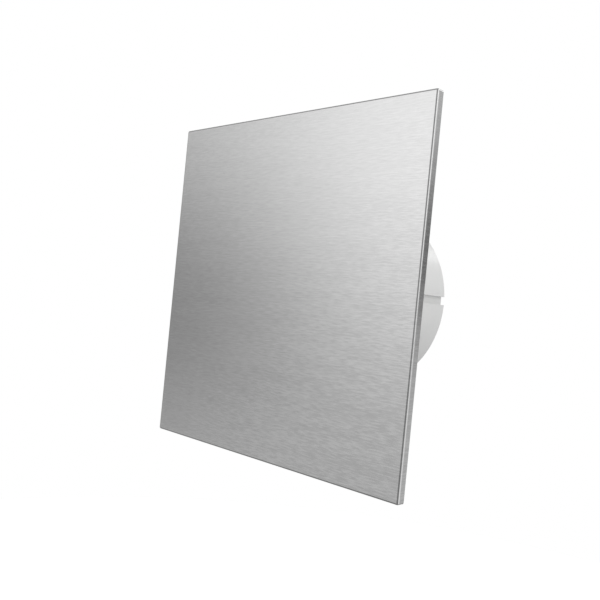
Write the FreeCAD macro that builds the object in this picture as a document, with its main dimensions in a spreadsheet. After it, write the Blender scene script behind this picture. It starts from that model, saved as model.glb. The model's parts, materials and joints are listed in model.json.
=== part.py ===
"""A bathroom extractor fan for a 100 mm duct, with a flush brushed steel front panel.

The frame: the origin is where the duct spigot's axis meets the wall plane, +Y runs into
the wall and +Z is up, so the room is on the -Y side. Every size is in millimetres.
"""

import FreeCAD, Part

import math
import os
import re

import Sketcher
from FreeCAD import Placement, Rotation, Vector

SIZES = {
    # Front panel: a pressed steel tray over a backing board, taped to a moulded carrier.
    "panel_size": 180.0,
    "panel_reach": 27.0,
    "panel_depth": 4.1,
    "panel_corner": 1.0,
    "sheet_thickness": 0.8,
    "bend_radius": 0.8,
    "board_gap": 0.15,
    "board_thickness": 3.0,
    "tape_thickness": 0.8,
    "tape_width": 9.0,
    "tape_length": 84.0,
    "carrier_size": 134.0,
    "carrier_width": 12.0,
    "carrier_thickness": 2.4,
    "peg_spacing": 122.0,
    "peg_radius": 3.0,
    "peg_length": 14.5,
    "peg_slot": 1.2,
    "peg_slot_length": 9.0,
    "peg_foot_radius": 5.2,
    "peg_foot_height": 1.6,
    "peg_gap": 0.15,
    "socket_wall": 1.9,
    "socket_depth": 8.0,
    # Cover: a rounded square with a bell-mouthed opening, and the grille pushed into it.
    "cover_reach": 14.0,
    "cover_plate": 2.0,
    "cover_skirt": 1.8,
    "cover_edge": 1.4,
    "bell_radius": 2.8,
    "bell_wall": 1.6,
    "grille_depth": 2.4,
    "grille_set_back": 1.1,
    "grille_rim": 1.3,
    "grille_rim_depth": 1.3,
    "grille_step": 0.3,
    "grille_bar": 1.5,
    "grille_hub": 15.0,
    "grille_ring_step": 7.6,
    "fit_gap": 0.3,
    # Base: the tray on the wall, and the spigot through it with the motor spider.
    "base_size": 144.0,
    "base_corner": 12.0,
    "base_plate": 2.4,
    "base_reveal": 0.6,
    "rim_wall": 2.0,
    "rim_reach": 9.5,
    "tray_rib": 1.5,
    "tray_rib_height": 4.6,
    "register_step": 0.6,
    "register_gap": 0.05,
    "collar_radius": 52.0,
    "collar_thickness": 2.0,
    "collar_gap": 0.5,
    "spigot_diameter": 98.0,
    "spigot_wall": 1.8,
    "spigot_length": 54.0,
    "groove_width": 4.4,
    "groove_depth": 2.15,
    "groove_floor": 1.3,
    "groove_rise": 1.7,
    "lead_slot_start": 29.5,
    "lead_slot_length": 7.5,
    "wall_screw_spacing": 100.0,
    "wall_screw_hole": 4.5,
    "wall_boss_radius": 5.5,
    "wall_boss_height": 2.0,
    "cover_screw_height": 61.5,
    "cover_boss_radius": 4.0,
    "cover_screw_hole": 3.4,
    "cover_head_radius": 3.2,
    "cover_head_depth": 1.3,
    "cover_head_sink": 0.1,
    "cover_screw_gap": 0.2,
    "cover_thread_gap": 0.05,
    "cover_screw_length": 9.4,
    "cross_length": 3.4,
    "cross_width": 0.8,
    "cross_depth": 0.8,
    "spider_start": 44.0,
    "spider_plate": 2.5,
    "spider_radius": 22.0,
    "spider_bore": 9.5,
    "vane_start": 38.0,
    "vane_thickness": 2.0,
    "vane_root": 2.0,
    # Mains connection in the left of the tray.
    "wiring_x": 59.2,
    "cable_hole_radius": 6.0,
    "cable_hole_drop": 36.0,
    "grommet_flange": 1.6,
    "grommet_flange_radius": 7.8,
    "grommet_bore": 4.0,
    "grommet_set_back": 0.2,
    "clamp_drop": 18.0,
    "clamp_spacing": 12.0,
    "clamp_width": 6.0,
    "clamp_bar": 3.0,
    "clamp_stand_off": 4.2,
    "clamp_arch": 3.6,
    "clamp_edge": 1.2,
    "clamp_boss_radius": 2.3,
    "clamp_screw_radius": 1.1,
    "clamp_screw_gap": 0.3,
    "clamp_head_radius": 2.1,
    "clamp_head_depth": 1.4,
    "block_width": 12.0,
    "block_depth": 8.6,
    "block_height": 16.0,
    "block_edge": 0.8,
    "block_notch": 1.2,
    "block_notch_depth": 1.6,
    "pole_spacing": 7.0,
    "pole_inset": 0.5,
    "pole_radius": 2.1,
    "pole_bore": 1.3,
    "pole_depth": 4.1,
    "terminal_screw_radius": 1.5,
    "terminal_screw_gap": 0.2,
    "terminal_screw_set_back": 0.9,
    # Motor: a shaded-pole C frame with its shaft on the spigot's axis.
    "stack_start": 21.0,
    "stack_length": 14.0,
    "frame_width": 44.0,
    "frame_bevel": 2.5,
    "frame_top": 18.0,
    "frame_bottom": 32.5,
    "leg_height": 8.0,
    "limb_width": 6.5,
    "window_height": 7.5,
    "rotor_radius": 11.6,
    "air_gap": 0.4,
    "shaft_radius": 2.0,
    "shaft_front": 10.0,
    "shaft_rear": 43.0,
    "shaft_bevel": 0.4,
    "spacer_wall": 1.0,
    "end_ring": 1.0,
    "end_ring_wall": 3.6,
    "end_ring_inset": 0.4,
    "bridge_width": 9.0,
    "bridge_sheet": 2.0,
    "bridge_height": 5.0,
    "bridge_half_top": 12.4,
    "bridge_half_foot": 14.6,
    "bridge_top_step": 1.2,
    "bridge_foot_step": 1.6,
    "bearing_radius": 5.5,
    "bearing_width": 4.0,
    "bearing_boss_radius": 7.5,
    "bearing_boss_length": 5.4,
    "bearing_lip_radius": 3.4,
    "bearing_boss_root": 1.0,
    "bearing_inset": 2.8,
    "ball_radius": 0.79,
    "ball_pitch_radius": 3.75,
    "ball_gap": 0.05,
    "race_gap": 0.5,
    "motor_screw_x": 18.75,
    "motor_screw_gap": 0.15,
    "motor_screw_radius": 1.45,
    "motor_screw_head": 2.0,
    "motor_screw_head_radius": 2.8,
    "motor_screw_length": 25.0,
    "motor_screw_floor": 0.6,
    "washer_thickness": 1.5,
    "washer_radius": 3.8,
    "shade_bar": 1.6,
    "shade_angle": 46.0,
    "shade_span": 10.8,
    "shade_radius": 14.2,
    "shade_gap": 0.05,
    "bobbin_wall": 1.0,
    "bobbin_flange": 1.2,
    "bobbin_rise": 6.0,
    "winding_rise": 5.0,
    "bobbin_length": 26.0,
    "bobbin_gap": 0.1,
    "bobbin_corner": 2.0,
    "winding_corner": 3.5,
    "pin_radius": 0.5,
    "pin_length": 4.0,
    "lead_radius": 0.8,
    "lead_pitch": 1.0,
    "lead_gap": 0.15,
    "lead_entry": 4.8,
    "lead_turn": 1.5,
    "lead_step": 2.6,
    "lead_run_out": 0.3,
    "fuse_radius": 1.6,
    "fuse_length": 9.0,
    # Impeller.
    "impeller_diameter": 89.0,
    "hub_radius": 19.0,
    "hub_wall": 1.8,
    "hub_nose": 2.5,
    "hub_fillet": 2.0,
    "hub_front": 7.0,
    "hub_rear": 12.5,
    "hub_boss_radius": 4.5,
    "hub_boss_rear": 10.0,
    "blade_root_radius": 15.2,
    "blade_root_chord": 23.0,
    "blade_tip_chord": 30.0,
    "blade_root_pitch": 47.0,
    "blade_tip_pitch": 27.0,
    "blade_thickness": 1.5,
    "blade_camber": 2.4,
    "blade_middle": 2.6,
    "blade_turning": 1.0,
    "nut_flats": 7.0,
    "nut_thickness": 2.4,
    # Backdraught damper in the spigot's mouth.
    "damper_depth": 5.6,
    "damper_gap": 0.1,
    "damper_wall": 2.7,
    "seat_width": 2.4,
    "seat_thickness": 1.3,
    "mullion_width": 5.0,
    "hinge_depth": 3.4,
    "hinge_pin_radius": 1.0,
    "hinge_pin_inset": 0.6,
    "hinge_gap": 0.08,
    "knuckle_radius": 1.8,
    "knuckle_gap": 0.4,
    "knuckle_web": 2.0,
    "flap_thickness": 1.0,
    "flap_seat_gap": 0.2,
    "flap_gap": 0.6,
    "flap_rib": 1.2,
    "flap_rib_root": 0.1,
    "flap_rib_end": 2.4,
    "spring_wire": 0.35,
    "spring_turns": 4.0,
    "spring_pitch": 0.5,
    "spring_gap": 0.15,
    "spring_leg": 6.0,
}

doc = FreeCAD.newDocument("bathroom_extractor_fan")
sheet = doc.addObject("Spreadsheet::Sheet", "Sizes")
for row, (size_name, size_value) in enumerate(SIZES.items(), start=1):
    sheet.set(f"A{row}", size_name)
    sheet.set(f"B{row}", str(size_value))
    sheet.setAlias(f"B{row}", size_name)
doc.recompute()

# Planes along Y, as expressions of the driving sizes.
PANEL_FRONT = "(-panel_reach)"
SHEET_BACK = f"({PANEL_FRONT} + sheet_thickness)"
BOARD_BACK = f"({SHEET_BACK} + board_thickness)"
CARRIER_FRONT = f"({BOARD_BACK} + tape_thickness)"
CARRIER_BACK = f"({CARRIER_FRONT} + carrier_thickness)"
COVER_FRONT = "(-cover_reach)"
COVER_INSIDE = f"({COVER_FRONT} + cover_plate)"
RIM_FRONT = "(-rim_reach)"
TRAY_FLOOR = "(-base_plate)"
BORE = "(spigot_diameter / 2 - spigot_wall)"
GROOVE_BOTTOM = "(spigot_diameter / 2 - groove_depth)"
GROOVE_RIB = f"({GROOVE_BOTTOM} - groove_floor)"
STACK_BACK = "(stack_start + stack_length)"
STACK_MIDDLE = "(stack_start + stack_length / 2)"
LEG_MIDDLE = "(-frame_bottom + leg_height / 2)"
COIL_PIN_Y = "(stack_start - bobbin_wall - bobbin_rise / 2)"
SPIDER_BACK = "(spider_start + spider_plate)"
BRIDGE_FOOT = "(stack_length / 2 + bridge_sheet)"
BEARING_INNER = "(stack_length / 2 + bearing_inset)"
BEARING_OUTER = f"({BEARING_INNER} + bearing_width)"
WASHER_FRONT = f"({STACK_MIDDLE} + {BRIDGE_FOOT})"
BOSS_FRONT = f"({WASHER_FRONT} + washer_thickness)"
DAMPER_START = SPIDER_BACK
HINGE_Y = f"({DAMPER_START} + hinge_depth)"
DAMPER_OUTER = f"({BORE} - damper_gap)"
DAMPER_INNER = f"({BORE} - damper_wall)"
DAMPER_BACK = f"({DAMPER_START} + damper_depth)"
SEAT_BACK = f"({DAMPER_START} + seat_thickness)"
FLAP_FRONT = f"({SEAT_BACK} + flap_seat_gap)"
FLAP_BACK = f"({FLAP_FRONT} + flap_thickness)"
FLAP_RADIUS = f"({DAMPER_INNER} - flap_gap)"
POLE_Y = f"({TRAY_FLOOR} - pole_depth)"
CLAMP_BACK = f"({TRAY_FLOOR} - clamp_stand_off)"
COVER_SIDE = "(base_size - 2 * cover_skirt)"
RIM_SIDE = f"({COVER_SIDE} - 2 * fit_gap)"
TRAY_SIDE = f"({RIM_SIDE} - 2 * rim_wall)"

TRAY_RIB_LEAN = 30
TRAY_RIB_ANGLES = (30, 60, 120, 240, 300, 330)
BLADES = 7
GRILLE_BARS = 12
GRILLE_RINGS = 4  # the last one is the rim
BALLS = 7
CORNERS = [(x, z) for x in (-1, 1) for z in (-1, 1)]
KNUCKLE_EDGES = (0.93, 0.62, 0.22, -0.22, -0.62, -0.93)  # shares of the flap's radius
SHADE_ANGLES = (90 + SIZES["shade_angle"], 270 + SIZES["shade_angle"])
FLAP_RIB_LEVELS = (-0.62, 0.0, 0.62)  # shares of the flap's radius


def cells(text):
    """An expression with each size's name pointed at its cell in the sheet."""
    return re.sub(
        r"[a-z_]+[a-z0-9_]*",
        lambda m: f"Sizes.{m.group()}" if m.group() in SIZES else m.group(),
        str(text),
    )


def bind(thing, **values):
    """Binds properties of an object to expressions; double underscores stand for dots."""
    for name, text in values.items():
        thing.setExpression(name.replace("__", "."), cells(text))
    return thing


# ---------------------------------------------------------------- Sketches and features

PLANE_NORMALS = {"XY_Plane": "", "YZ_Plane": "", "XZ_Plane": "-"}


def new_body(label):
    """An empty PartDesign body with that label."""
    body = doc.addObject("PartDesign::Body", label)
    body.Label = label
    return body


def origin_feature(body, role):
    """The body's own origin plane or axis of that role."""
    return next(f for f in body.Origin.OriginFeatures if f.Role == role)


def new_sketch(body, plane="XZ_Plane", at="0", turn=0.0):
    """A sketch on one of the body's planes, set along that plane's axis and turned in it."""
    sketch = body.newObject("Sketcher::SketchObject", f"{body.Name}_sketch")
    sketch.AttachmentSupport = [(origin_feature(body, plane), "")]
    sketch.MapMode = "FlatFace"
    sketch.AttachmentOffset = Placement(Vector(), Rotation(Vector(0, 0, 1), turn))
    sketch.setExpression("AttachmentOffset.Base.z", cells(f"{PLANE_NORMALS[plane]}({at})"))
    return sketch


def hold(sketch, kind, value, text, *where):
    """A dimension of a sketch, first at the value it has and then bound to an expression."""
    number = sketch.addConstraint(Sketcher.Constraint(kind, *where, value))
    name = f"{kind}{number}"
    sketch.renameConstraint(number, name)
    sketch.setExpression(f"Constraints.{name}", cells(text))


def pin_point(sketch, geometry, vertex, x=None, y=None):
    """Holds one point of a sketch at the expressions x and y, or at one of them."""
    point = sketch.getPoint(geometry, vertex)
    for kind, value, text in (("DistanceX", point.x, x), ("DistanceY", point.y, y)):
        if text is not None:
            hold(sketch, kind, value, text, -1, 1, geometry, vertex)


def set_radius(sketch, geometry, radius):
    """Holds a circle's or an arc's radius at an expression."""
    hold(sketch, "Radius", sketch.Geometry[geometry].Radius, radius, geometry)


def draw_circle(sketch, radius, x="0", y="0"):
    """A circle in a sketch."""
    circle = sketch.addGeometry(Part.Circle(Vector(1, 1, 0), Vector(0, 0, 1), 1.0), False)
    pin_point(sketch, circle, 3, x, y)
    set_radius(sketch, circle, radius)


def draw_polygon(sketch, points):
    """A closed outline through points given as pairs of expressions."""
    count = len(points)
    seeds = [
        Vector(math.cos(2 * math.pi * i / count), math.sin(2 * math.pi * i / count), 0)
        for i in range(count)
    ]
    lines = [
        sketch.addGeometry(Part.LineSegment(seeds[i], seeds[(i + 1) % count]), False)
        for i in range(count)
    ]
    for i in range(count):
        following = lines[(i + 1) % count]
        sketch.addConstraint(Sketcher.Constraint("Coincident", lines[i], 2, following, 1))
    for line, (x, y) in zip(lines, points):
        pin_point(sketch, line, 1, x, y)


def draw_rectangle(sketch, width, height, x="0", y="0"):
    """A rectangle about the point x, y."""
    left, right = f"({x}) - ({width}) / 2", f"({x}) + ({width}) / 2"
    low, high = f"({y}) - ({height}) / 2", f"({y}) + ({height}) / 2"
    draw_polygon(sketch, [(left, low), (right, low), (right, high), (left, high)])


def draw_rounded(sketch, width, height, radius, x="0", y="0"):
    """A rectangle about the point x, y with its corners rounded."""
    arcs = []
    for turn, (side, rise) in enumerate(((1, 1), (-1, 1), (-1, -1), (1, -1))):
        circle = Part.Circle(Vector(side * 10, rise * 10, 0), Vector(0, 0, 1), 1.0)
        first = turn * math.pi / 2
        arc = sketch.addGeometry(Part.ArcOfCircle(circle, first, first + math.pi / 2), False)
        set_radius(sketch, arc, radius)
        middle_x = f"({x}) + {side} * (({width}) / 2 - ({radius}))"
        middle_y = f"({y}) + {rise} * (({height}) / 2 - ({radius}))"
        pin_point(sketch, arc, 3, middle_x, middle_y)
        pin_point(sketch, arc, 1 if side == rise else 2, y=middle_y)
        pin_point(sketch, arc, 2 if side == rise else 1, x=middle_x)
        arcs.append(arc)
    for arc, following in zip(arcs, arcs[1:] + arcs[:1]):
        ends = sketch.getPoint(arc, 2), sketch.getPoint(following, 1)
        line = sketch.addGeometry(Part.LineSegment(*ends), False)
        sketch.addConstraint(Sketcher.Constraint("Coincident", line, 1, arc, 2))
        sketch.addConstraint(Sketcher.Constraint("Coincident", line, 2, following, 1))


def draw_half_disc(sketch, radius, straight, side):
    """The part of a disc beyond a vertical chord; side is 1 for the right and -1 for the left."""
    seed = Part.Circle(Vector(), Vector(0, 0, 1), SIZES["spigot_diameter"] / 2)
    middle = 0.0 if side > 0 else math.pi
    arc = sketch.addGeometry(Part.ArcOfCircle(seed, middle - 1.5, middle + 1.5), False)
    bottom, top = (1, 2) if side > 0 else (2, 1)
    ends = sketch.getPoint(arc, bottom), sketch.getPoint(arc, top)
    chord = sketch.addGeometry(Part.LineSegment(*ends), False)
    sketch.addConstraint(Sketcher.Constraint("Coincident", arc, bottom, chord, 1))
    sketch.addConstraint(Sketcher.Constraint("Coincident", arc, top, chord, 2))
    sketch.addConstraint(Sketcher.Constraint("Coincident", arc, 3, -1, 1))
    sketch.addConstraint(Sketcher.Constraint("Vertical", chord))
    set_radius(sketch, arc, radius)
    pin_point(sketch, chord, 1, x=f"{side} * ({straight})")


def add_feature(body, kind, sketch, **values):
    """A sketch-based feature at the tip of the body, with its sizes bound."""
    feature = body.newObject(f"PartDesign::{kind}", f"{body.Name}_{kind}")
    feature.Profile = sketch
    sketch.Visibility = False
    return bind(feature, **values)


def finish(body, feature):
    """Recomputes a new feature and stops the build where it failed."""
    doc.recompute()
    if "Invalid" in feature.State or body.Shape.isNull():
        raise ValueError(f"{feature.Label} failed in {body.Label}")
    return feature


def pad(body, sketch, length):
    """Material from the sketch's plane towards +X, +Y or +Z."""
    feature = add_feature(body, "Pad", sketch, Length=length)
    feature.Reversed = sketch_faces_back(sketch)
    return finish(body, feature)


def pocket(body, sketch, length):
    """A cut from the sketch's plane towards +X, +Y or +Z."""
    before = body.Shape.Volume
    feature = add_feature(body, "Pocket", sketch, Length=length)
    feature.Reversed = not sketch_faces_back(sketch)
    finish(body, feature)
    if body.Shape.Volume > before - 1e-6:
        raise ValueError(f"{feature.Label} cuts nothing from {body.Label}")
    return feature


def sketch_faces_back(sketch):
    """Whether the sketch's normal is -Y."""
    return sketch.AttachmentSupport[0][0].Role == "XZ_Plane"


def revolve(body, points, kind="Revolution", role="Y_Axis", plane="XY_Plane"):
    """A closed outline of radius and height pairs turned about an axis of the body."""
    sketch = new_sketch(body, plane)
    draw_polygon(sketch, points)
    feature = add_feature(body, kind, sketch)
    feature.ReferenceAxis = (origin_feature(body, role), [""])
    feature.Angle = 360.0
    return finish(body, feature)


def repeat_round(body, features, count, role="Y_Axis"):
    """Features of a body repeated evenly about one of its axes."""
    pattern = body.newObject("PartDesign::PolarPattern", f"{body.Name}_pattern")
    pattern.Originals = features
    pattern.Axis = (origin_feature(body, role), [""])
    pattern.Angle = 360.0
    pattern.Occurrences = count
    body.Tip = pattern
    return finish(body, pattern)


def dress(body, kind, edges, size):
    """A fillet or chamfer on named edges of the tip, with its size bound."""
    base = body.Tip
    feature = body.newObject(f"PartDesign::{kind}", f"{body.Name}_{kind}")
    feature.Base = (base, edges)
    bind(feature, **{"Radius" if kind == "Fillet" else "Size": size})
    return finish(body, feature)


def edges_where(body, wanted):
    """The names of the tip's edges for which wanted is true."""
    shape = body.Tip.Shape
    return [f"Edge{i}" for i, edge in enumerate(shape.Edges, start=1) if wanted(edge)]


def bevel_corners(body, feature, size):
    """Bevels the four corner edges of a rectangular pad that runs along Y."""
    box = feature.Shape.BoundBox

    def at_corner(edge):
        point = edge.Vertexes[0].Point
        across = min(abs(point.x - box.XMin), abs(point.x - box.XMax))
        up = min(abs(point.z - box.ZMin), abs(point.z - box.ZMax))
        return edge.BoundBox.YLength > 1 and max(across, up) < 1e-4

    return dress(body, "Chamfer", edges_where(body, at_corner), size)


def edges_at_depth(body, y, inside=math.inf):
    """The tip's edges that lie at one depth, no further from the Y axis than inside."""

    def lies_there(edge):
        box = edge.BoundBox
        middle = edge.valueAt((edge.FirstParameter + edge.LastParameter) / 2)
        radius = math.hypot(middle.x, middle.z)
        flat = abs(box.YMin - y) < 1e-4 and abs(box.YMax - y) < 1e-4
        return flat and radius <= inside

    return edges_where(body, lies_there)


# ---------------------------------------------------------------- Part primitives


def rod(name, radius, start, length, x="0", z="0"):
    """A cylinder along +Y."""
    shape = doc.addObject("Part::Cylinder", name)
    shape.Placement = Placement(Vector(), Rotation(Vector(1, 0, 0), -90))
    return bind(
        shape, Radius=radius, Height=length,
        Placement__Base__x=x, Placement__Base__y=start, Placement__Base__z=z,
    )


def block(name, x, y, z, length, depth, height):
    """A box from its lowest corner."""
    shape = doc.addObject("Part::Box", name)
    return bind(
        shape, Length=length, Width=depth, Height=height,
        Placement__Base__x=x, Placement__Base__y=y, Placement__Base__z=z,
    )


def radial_block(name, angle, radius, start, outwards, depth, across):
    """A box square to a radius from the Y axis, its middle at that radius and angle."""
    shape = doc.addObject("Part::Box", name)
    shape.Placement = Placement(Vector(), Rotation(Vector(0, -1, 0), angle))
    near, half = f"({radius} - ({outwards}) / 2)", f"(({across}) / 2)"
    return bind(
        shape, Length=outwards, Width=depth, Height=across,
        Placement__Base__x=f"{near} * cos({angle} deg) + {half} * sin({angle} deg)",
        Placement__Base__y=start,
        Placement__Base__z=f"{near} * sin({angle} deg) - {half} * cos({angle} deg)",
    )


def fuse(name, *pieces):
    """One solid from several."""
    shape = doc.addObject("Part::MultiFuse", name)
    shape.Shapes = list(pieces)
    return shape


def cut(name, base, *tools):
    """A base with the tools taken out of it."""
    shape = doc.addObject("Part::Cut", name)
    shape.Base = base
    shape.Tool = tools[0] if len(tools) == 1 else fuse(f"{name}_tools", *tools)
    return shape


def group(name, pieces):
    """Separate solids under one name."""
    shape = doc.addObject("Part::Compound", name)
    shape.Links = list(pieces)
    return shape


def screw(name, x, z, seat, head, shank, arms=2):
    """A screw along +Y with its head's back at the seat; head and shank are radius and length."""
    front = f"{seat} - ({head[1]})"
    whole = fuse(
        f"{name}_whole",
        rod(f"{name}_head", head[0], front, head[1], x, z),
        rod(f"{name}_shank", shank[0], seat, shank[1], x, z),
    )
    recess = [("cross_length", "cross_width"), ("cross_width", "cross_length")][:arms]
    slots = [
        block(f"{name}_recess_{number}", f"{x} - {length} / 2", front,
              f"{z} - {height} / 2", length, "cross_depth", height)
        for number, (length, height) in enumerate(recess)
    ]
    return cut(name, whole, *slots)


def label(thing, name):
    """Names a finished sub-part, and returns it."""
    thing.Label = name
    return thing


# ---------------------------------------------------------------- Front panel


def make_face_sheet():
    """The brushed steel tray: a flat face with its four edges folded back."""
    body = new_body("panel_face_sheet")
    sketch = new_sketch(body, at=PANEL_FRONT)
    draw_rounded(sketch, "panel_size", "panel_size", "panel_corner")
    pad(body, sketch, "panel_depth")
    front = -SIZES["panel_reach"]
    dress(body, "Fillet", edges_at_depth(body, front), "bend_radius")
    sketch = new_sketch(body, at=SHEET_BACK)
    inside = "panel_size - 2 * sheet_thickness"
    draw_rectangle(sketch, inside, inside)
    pocket(body, sketch, "panel_depth")
    return body


def make_backing_board():
    """The stiff board that fills the steel tray."""
    body = new_body("panel_backing_board")
    sketch = new_sketch(body, at=SHEET_BACK)
    side = "panel_size - 2 * (sheet_thickness + board_gap)"
    draw_rectangle(sketch, side, side)
    pad(body, sketch, "board_thickness")
    return body


def make_tape_pads():
    """Foam tape along each side, between the board and the carrier."""
    pads = []
    middle = "(carrier_size - carrier_width) / 2"
    for side in (-1, 1):
        pads.append(block(
            f"tape_side_{side + 1}", f"{side} * {middle} - tape_width / 2", BOARD_BACK,
            "-tape_length / 2", "tape_width", "tape_thickness", "tape_length",
        ))
        pads.append(block(
            f"tape_level_{side + 1}", "-tape_length / 2", BOARD_BACK,
            f"{side} * {middle} - tape_width / 2", "tape_length", "tape_thickness",
            "tape_width",
        ))
    return label(group("tape_pads", pads), "panel_tape_pads")


def make_carrier():
    """The moulded frame behind the panel, with a split peg at each corner."""
    body = new_body("panel_carrier")
    sketch = new_sketch(body, at=CARRIER_FRONT)
    draw_rounded(sketch, "carrier_size", "carrier_size", "carrier_width / 2")
    pad(body, sketch, "carrier_thickness")
    sketch = new_sketch(body, at=CARRIER_FRONT)
    inside = "carrier_size - 2 * carrier_width"
    draw_rounded(sketch, inside, inside, "carrier_width / 2")
    pocket(body, sketch, "carrier_thickness")
    for radius, length in (
        ("peg_foot_radius", "peg_foot_height"),
        ("peg_radius", "peg_length"),
    ):
        sketch = new_sketch(body, at=CARRIER_BACK)
        for x, z in CORNERS:
            draw_circle(sketch, radius, f"{x} * peg_spacing / 2", f"{z} * peg_spacing / 2")
        pad(body, sketch, length)
    tip = -(SIZES["panel_reach"] - SIZES["sheet_thickness"] - SIZES["board_thickness"])
    tip += SIZES["tape_thickness"] + SIZES["carrier_thickness"] + SIZES["peg_length"]
    dress(body, "Chamfer", edges_at_depth(body, tip), "peg_radius / 4")
    sketch = new_sketch(body, at=f"{CARRIER_BACK} + peg_length - peg_slot_length")
    for x, z in CORNERS:
        draw_rectangle(
            sketch, "peg_slot", "3 * peg_radius",
            f"{x} * peg_spacing / 2", f"{z} * peg_spacing / 2",
        )
    pocket(body, sketch, "peg_slot_length")
    return body


# ---------------------------------------------------------------- Cover and grille


def make_cover():
    """The front cover: a shallow box with a bell-mouthed opening and peg sockets."""
    body = new_body("intake_cover")
    sketch = new_sketch(body, at=COVER_FRONT)
    draw_rounded(sketch, "base_size", "base_size", "base_corner")
    pad(body, sketch, "cover_reach - base_plate - base_reveal")
    front = -SIZES["cover_reach"]
    dress(body, "Fillet", edges_at_depth(body, front), "cover_edge")
    sketch = new_sketch(body, at=COVER_INSIDE)
    draw_rounded(sketch, COVER_SIDE, COVER_SIDE, "base_corner - cover_skirt")
    pocket(body, sketch, "cover_reach")
    sketch = new_sketch(body, at=COVER_FRONT)
    draw_circle(sketch, f"{BORE} + bell_radius + bell_wall")
    pad(body, sketch, "cover_reach - rim_reach - fit_gap")
    sketch = new_sketch(body, at=COVER_FRONT)
    draw_circle(sketch, BORE)
    pocket(body, sketch, "cover_reach")
    bore = SIZES["spigot_diameter"] / 2
    rim = edges_at_depth(body, front, inside=bore)
    dress(body, "Fillet", rim, "bell_radius")
    sketch = new_sketch(body, at=COVER_INSIDE)
    for x, z in CORNERS:
        draw_circle(
            sketch, "peg_radius + peg_gap + socket_wall",
            f"{x} * peg_spacing / 2", f"{z} * peg_spacing / 2",
        )
    pad(body, sketch, "socket_depth")
    sketch = new_sketch(body, at=COVER_FRONT)
    for x, z in CORNERS:
        draw_circle(
            sketch, "peg_radius + peg_gap",
            f"{x} * peg_spacing / 2", f"{z} * peg_spacing / 2",
        )
    pocket(body, sketch, "cover_reach")
    for radius, depth in (
        ("cover_head_radius + cover_screw_gap", "cover_head_depth"),
        ("cover_screw_hole / 2", "cover_plate"),
    ):
        sketch = new_sketch(body, at=COVER_FRONT)
        for side in (-1, 1):
            draw_circle(sketch, radius, "0", f"{side} * cover_screw_height")
        pocket(body, sketch, depth)
    return body


def make_grille():
    """The round grille: a rim in the bell mouth, with rings, radial bars and a middle disc."""
    body = new_body("intake_grille")
    start = f"({COVER_FRONT} + grille_set_back)"
    sketch = new_sketch(body, at=f"{COVER_FRONT} + bell_radius")
    draw_circle(sketch, BORE)
    draw_circle(sketch, f"{BORE} - grille_rim")
    pad(body, sketch, "grille_rim_depth")
    sketch = new_sketch(body, at=start)
    reach = f"({BORE} - grille_rim / 2)"
    draw_rectangle(sketch, f"{reach} - grille_hub + grille_bar", "grille_bar",
                   f"({reach} + grille_hub - grille_bar) / 2")
    bar = pad(body, sketch, "grille_depth")
    repeat_round(body, [bar], GRILLE_BARS)
    sketch = new_sketch(body, at=start)
    draw_circle(sketch, "grille_hub")
    pad(body, sketch, "grille_bar")
    for ring in range(1, GRILLE_RINGS):
        sketch = new_sketch(body, at=f"{start} + grille_step")
        middle = f"(grille_hub + {ring} * grille_ring_step)"
        draw_circle(sketch, f"{middle} + grille_bar / 2")
        draw_circle(sketch, f"{middle} - grille_bar / 2")
        pad(body, sketch, "grille_depth - 2 * grille_step")
    return body


def make_cover_screws():
    """The two screws that hold the cover to the base."""
    screws = []
    for side in (-1, 1):
        seat = f"{COVER_FRONT} + cover_head_depth"
        screws.append(screw(
            f"cover_screw_{side + 1}", "0", f"{side} * cover_screw_height", seat,
            ("cover_head_radius", "cover_head_depth - cover_head_sink"),
            ("cover_screw_hole / 2 - cover_screw_gap", "cover_screw_length"),
        ))
    return label(group("cover_screw_pair", screws), "cover_screws")


# ---------------------------------------------------------------- Base


def make_tray():
    """The tray that is screwed to the wall, open for the spigot."""
    body = new_body("base_tray")
    sketch = new_sketch(body, at=TRAY_FLOOR)
    side = "base_size - 2 * base_reveal"
    draw_rounded(sketch, side, side, "base_corner - base_reveal")
    pad(body, sketch, "base_plate")
    add_tray_rim(body)
    add_tray_bosses(body)
    sketch = new_sketch(body, at=RIM_FRONT)
    draw_circle(sketch, "spigot_diameter / 2 + register_step + register_gap")
    pocket(body, sketch, "rim_reach")
    cut_lead_grooves(body)
    add_tray_holes(body)
    return body


def add_tray_rim(body):
    """The wall round the tray and the ribs that stiffen its floor."""
    sketch = new_sketch(body, at=RIM_FRONT)
    corner = "base_corner - cover_skirt - fit_gap"
    draw_rounded(sketch, RIM_SIDE, RIM_SIDE, corner)
    pad(body, sketch, "rim_reach - base_plate")
    sketch = new_sketch(body, at=RIM_FRONT)
    draw_rounded(sketch, TRAY_SIDE, TRAY_SIDE, f"{corner} - rim_wall")
    pocket(body, sketch, "rim_reach - base_plate")
    start = "(collar_radius + collar_gap)"
    reach = f"({TRAY_SIDE} / 2 / cos({TRAY_RIB_LEAN} deg) + rim_wall / 2)"
    for angle in TRAY_RIB_ANGLES:
        sketch = new_sketch(body, at=f"{TRAY_FLOOR} - tray_rib_height", turn=angle)
        draw_rectangle(sketch, f"{reach} - {start}", "tray_rib", f"({reach} + {start}) / 2")
        pad(body, sketch, "tray_rib_height + base_plate / 2")


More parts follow.
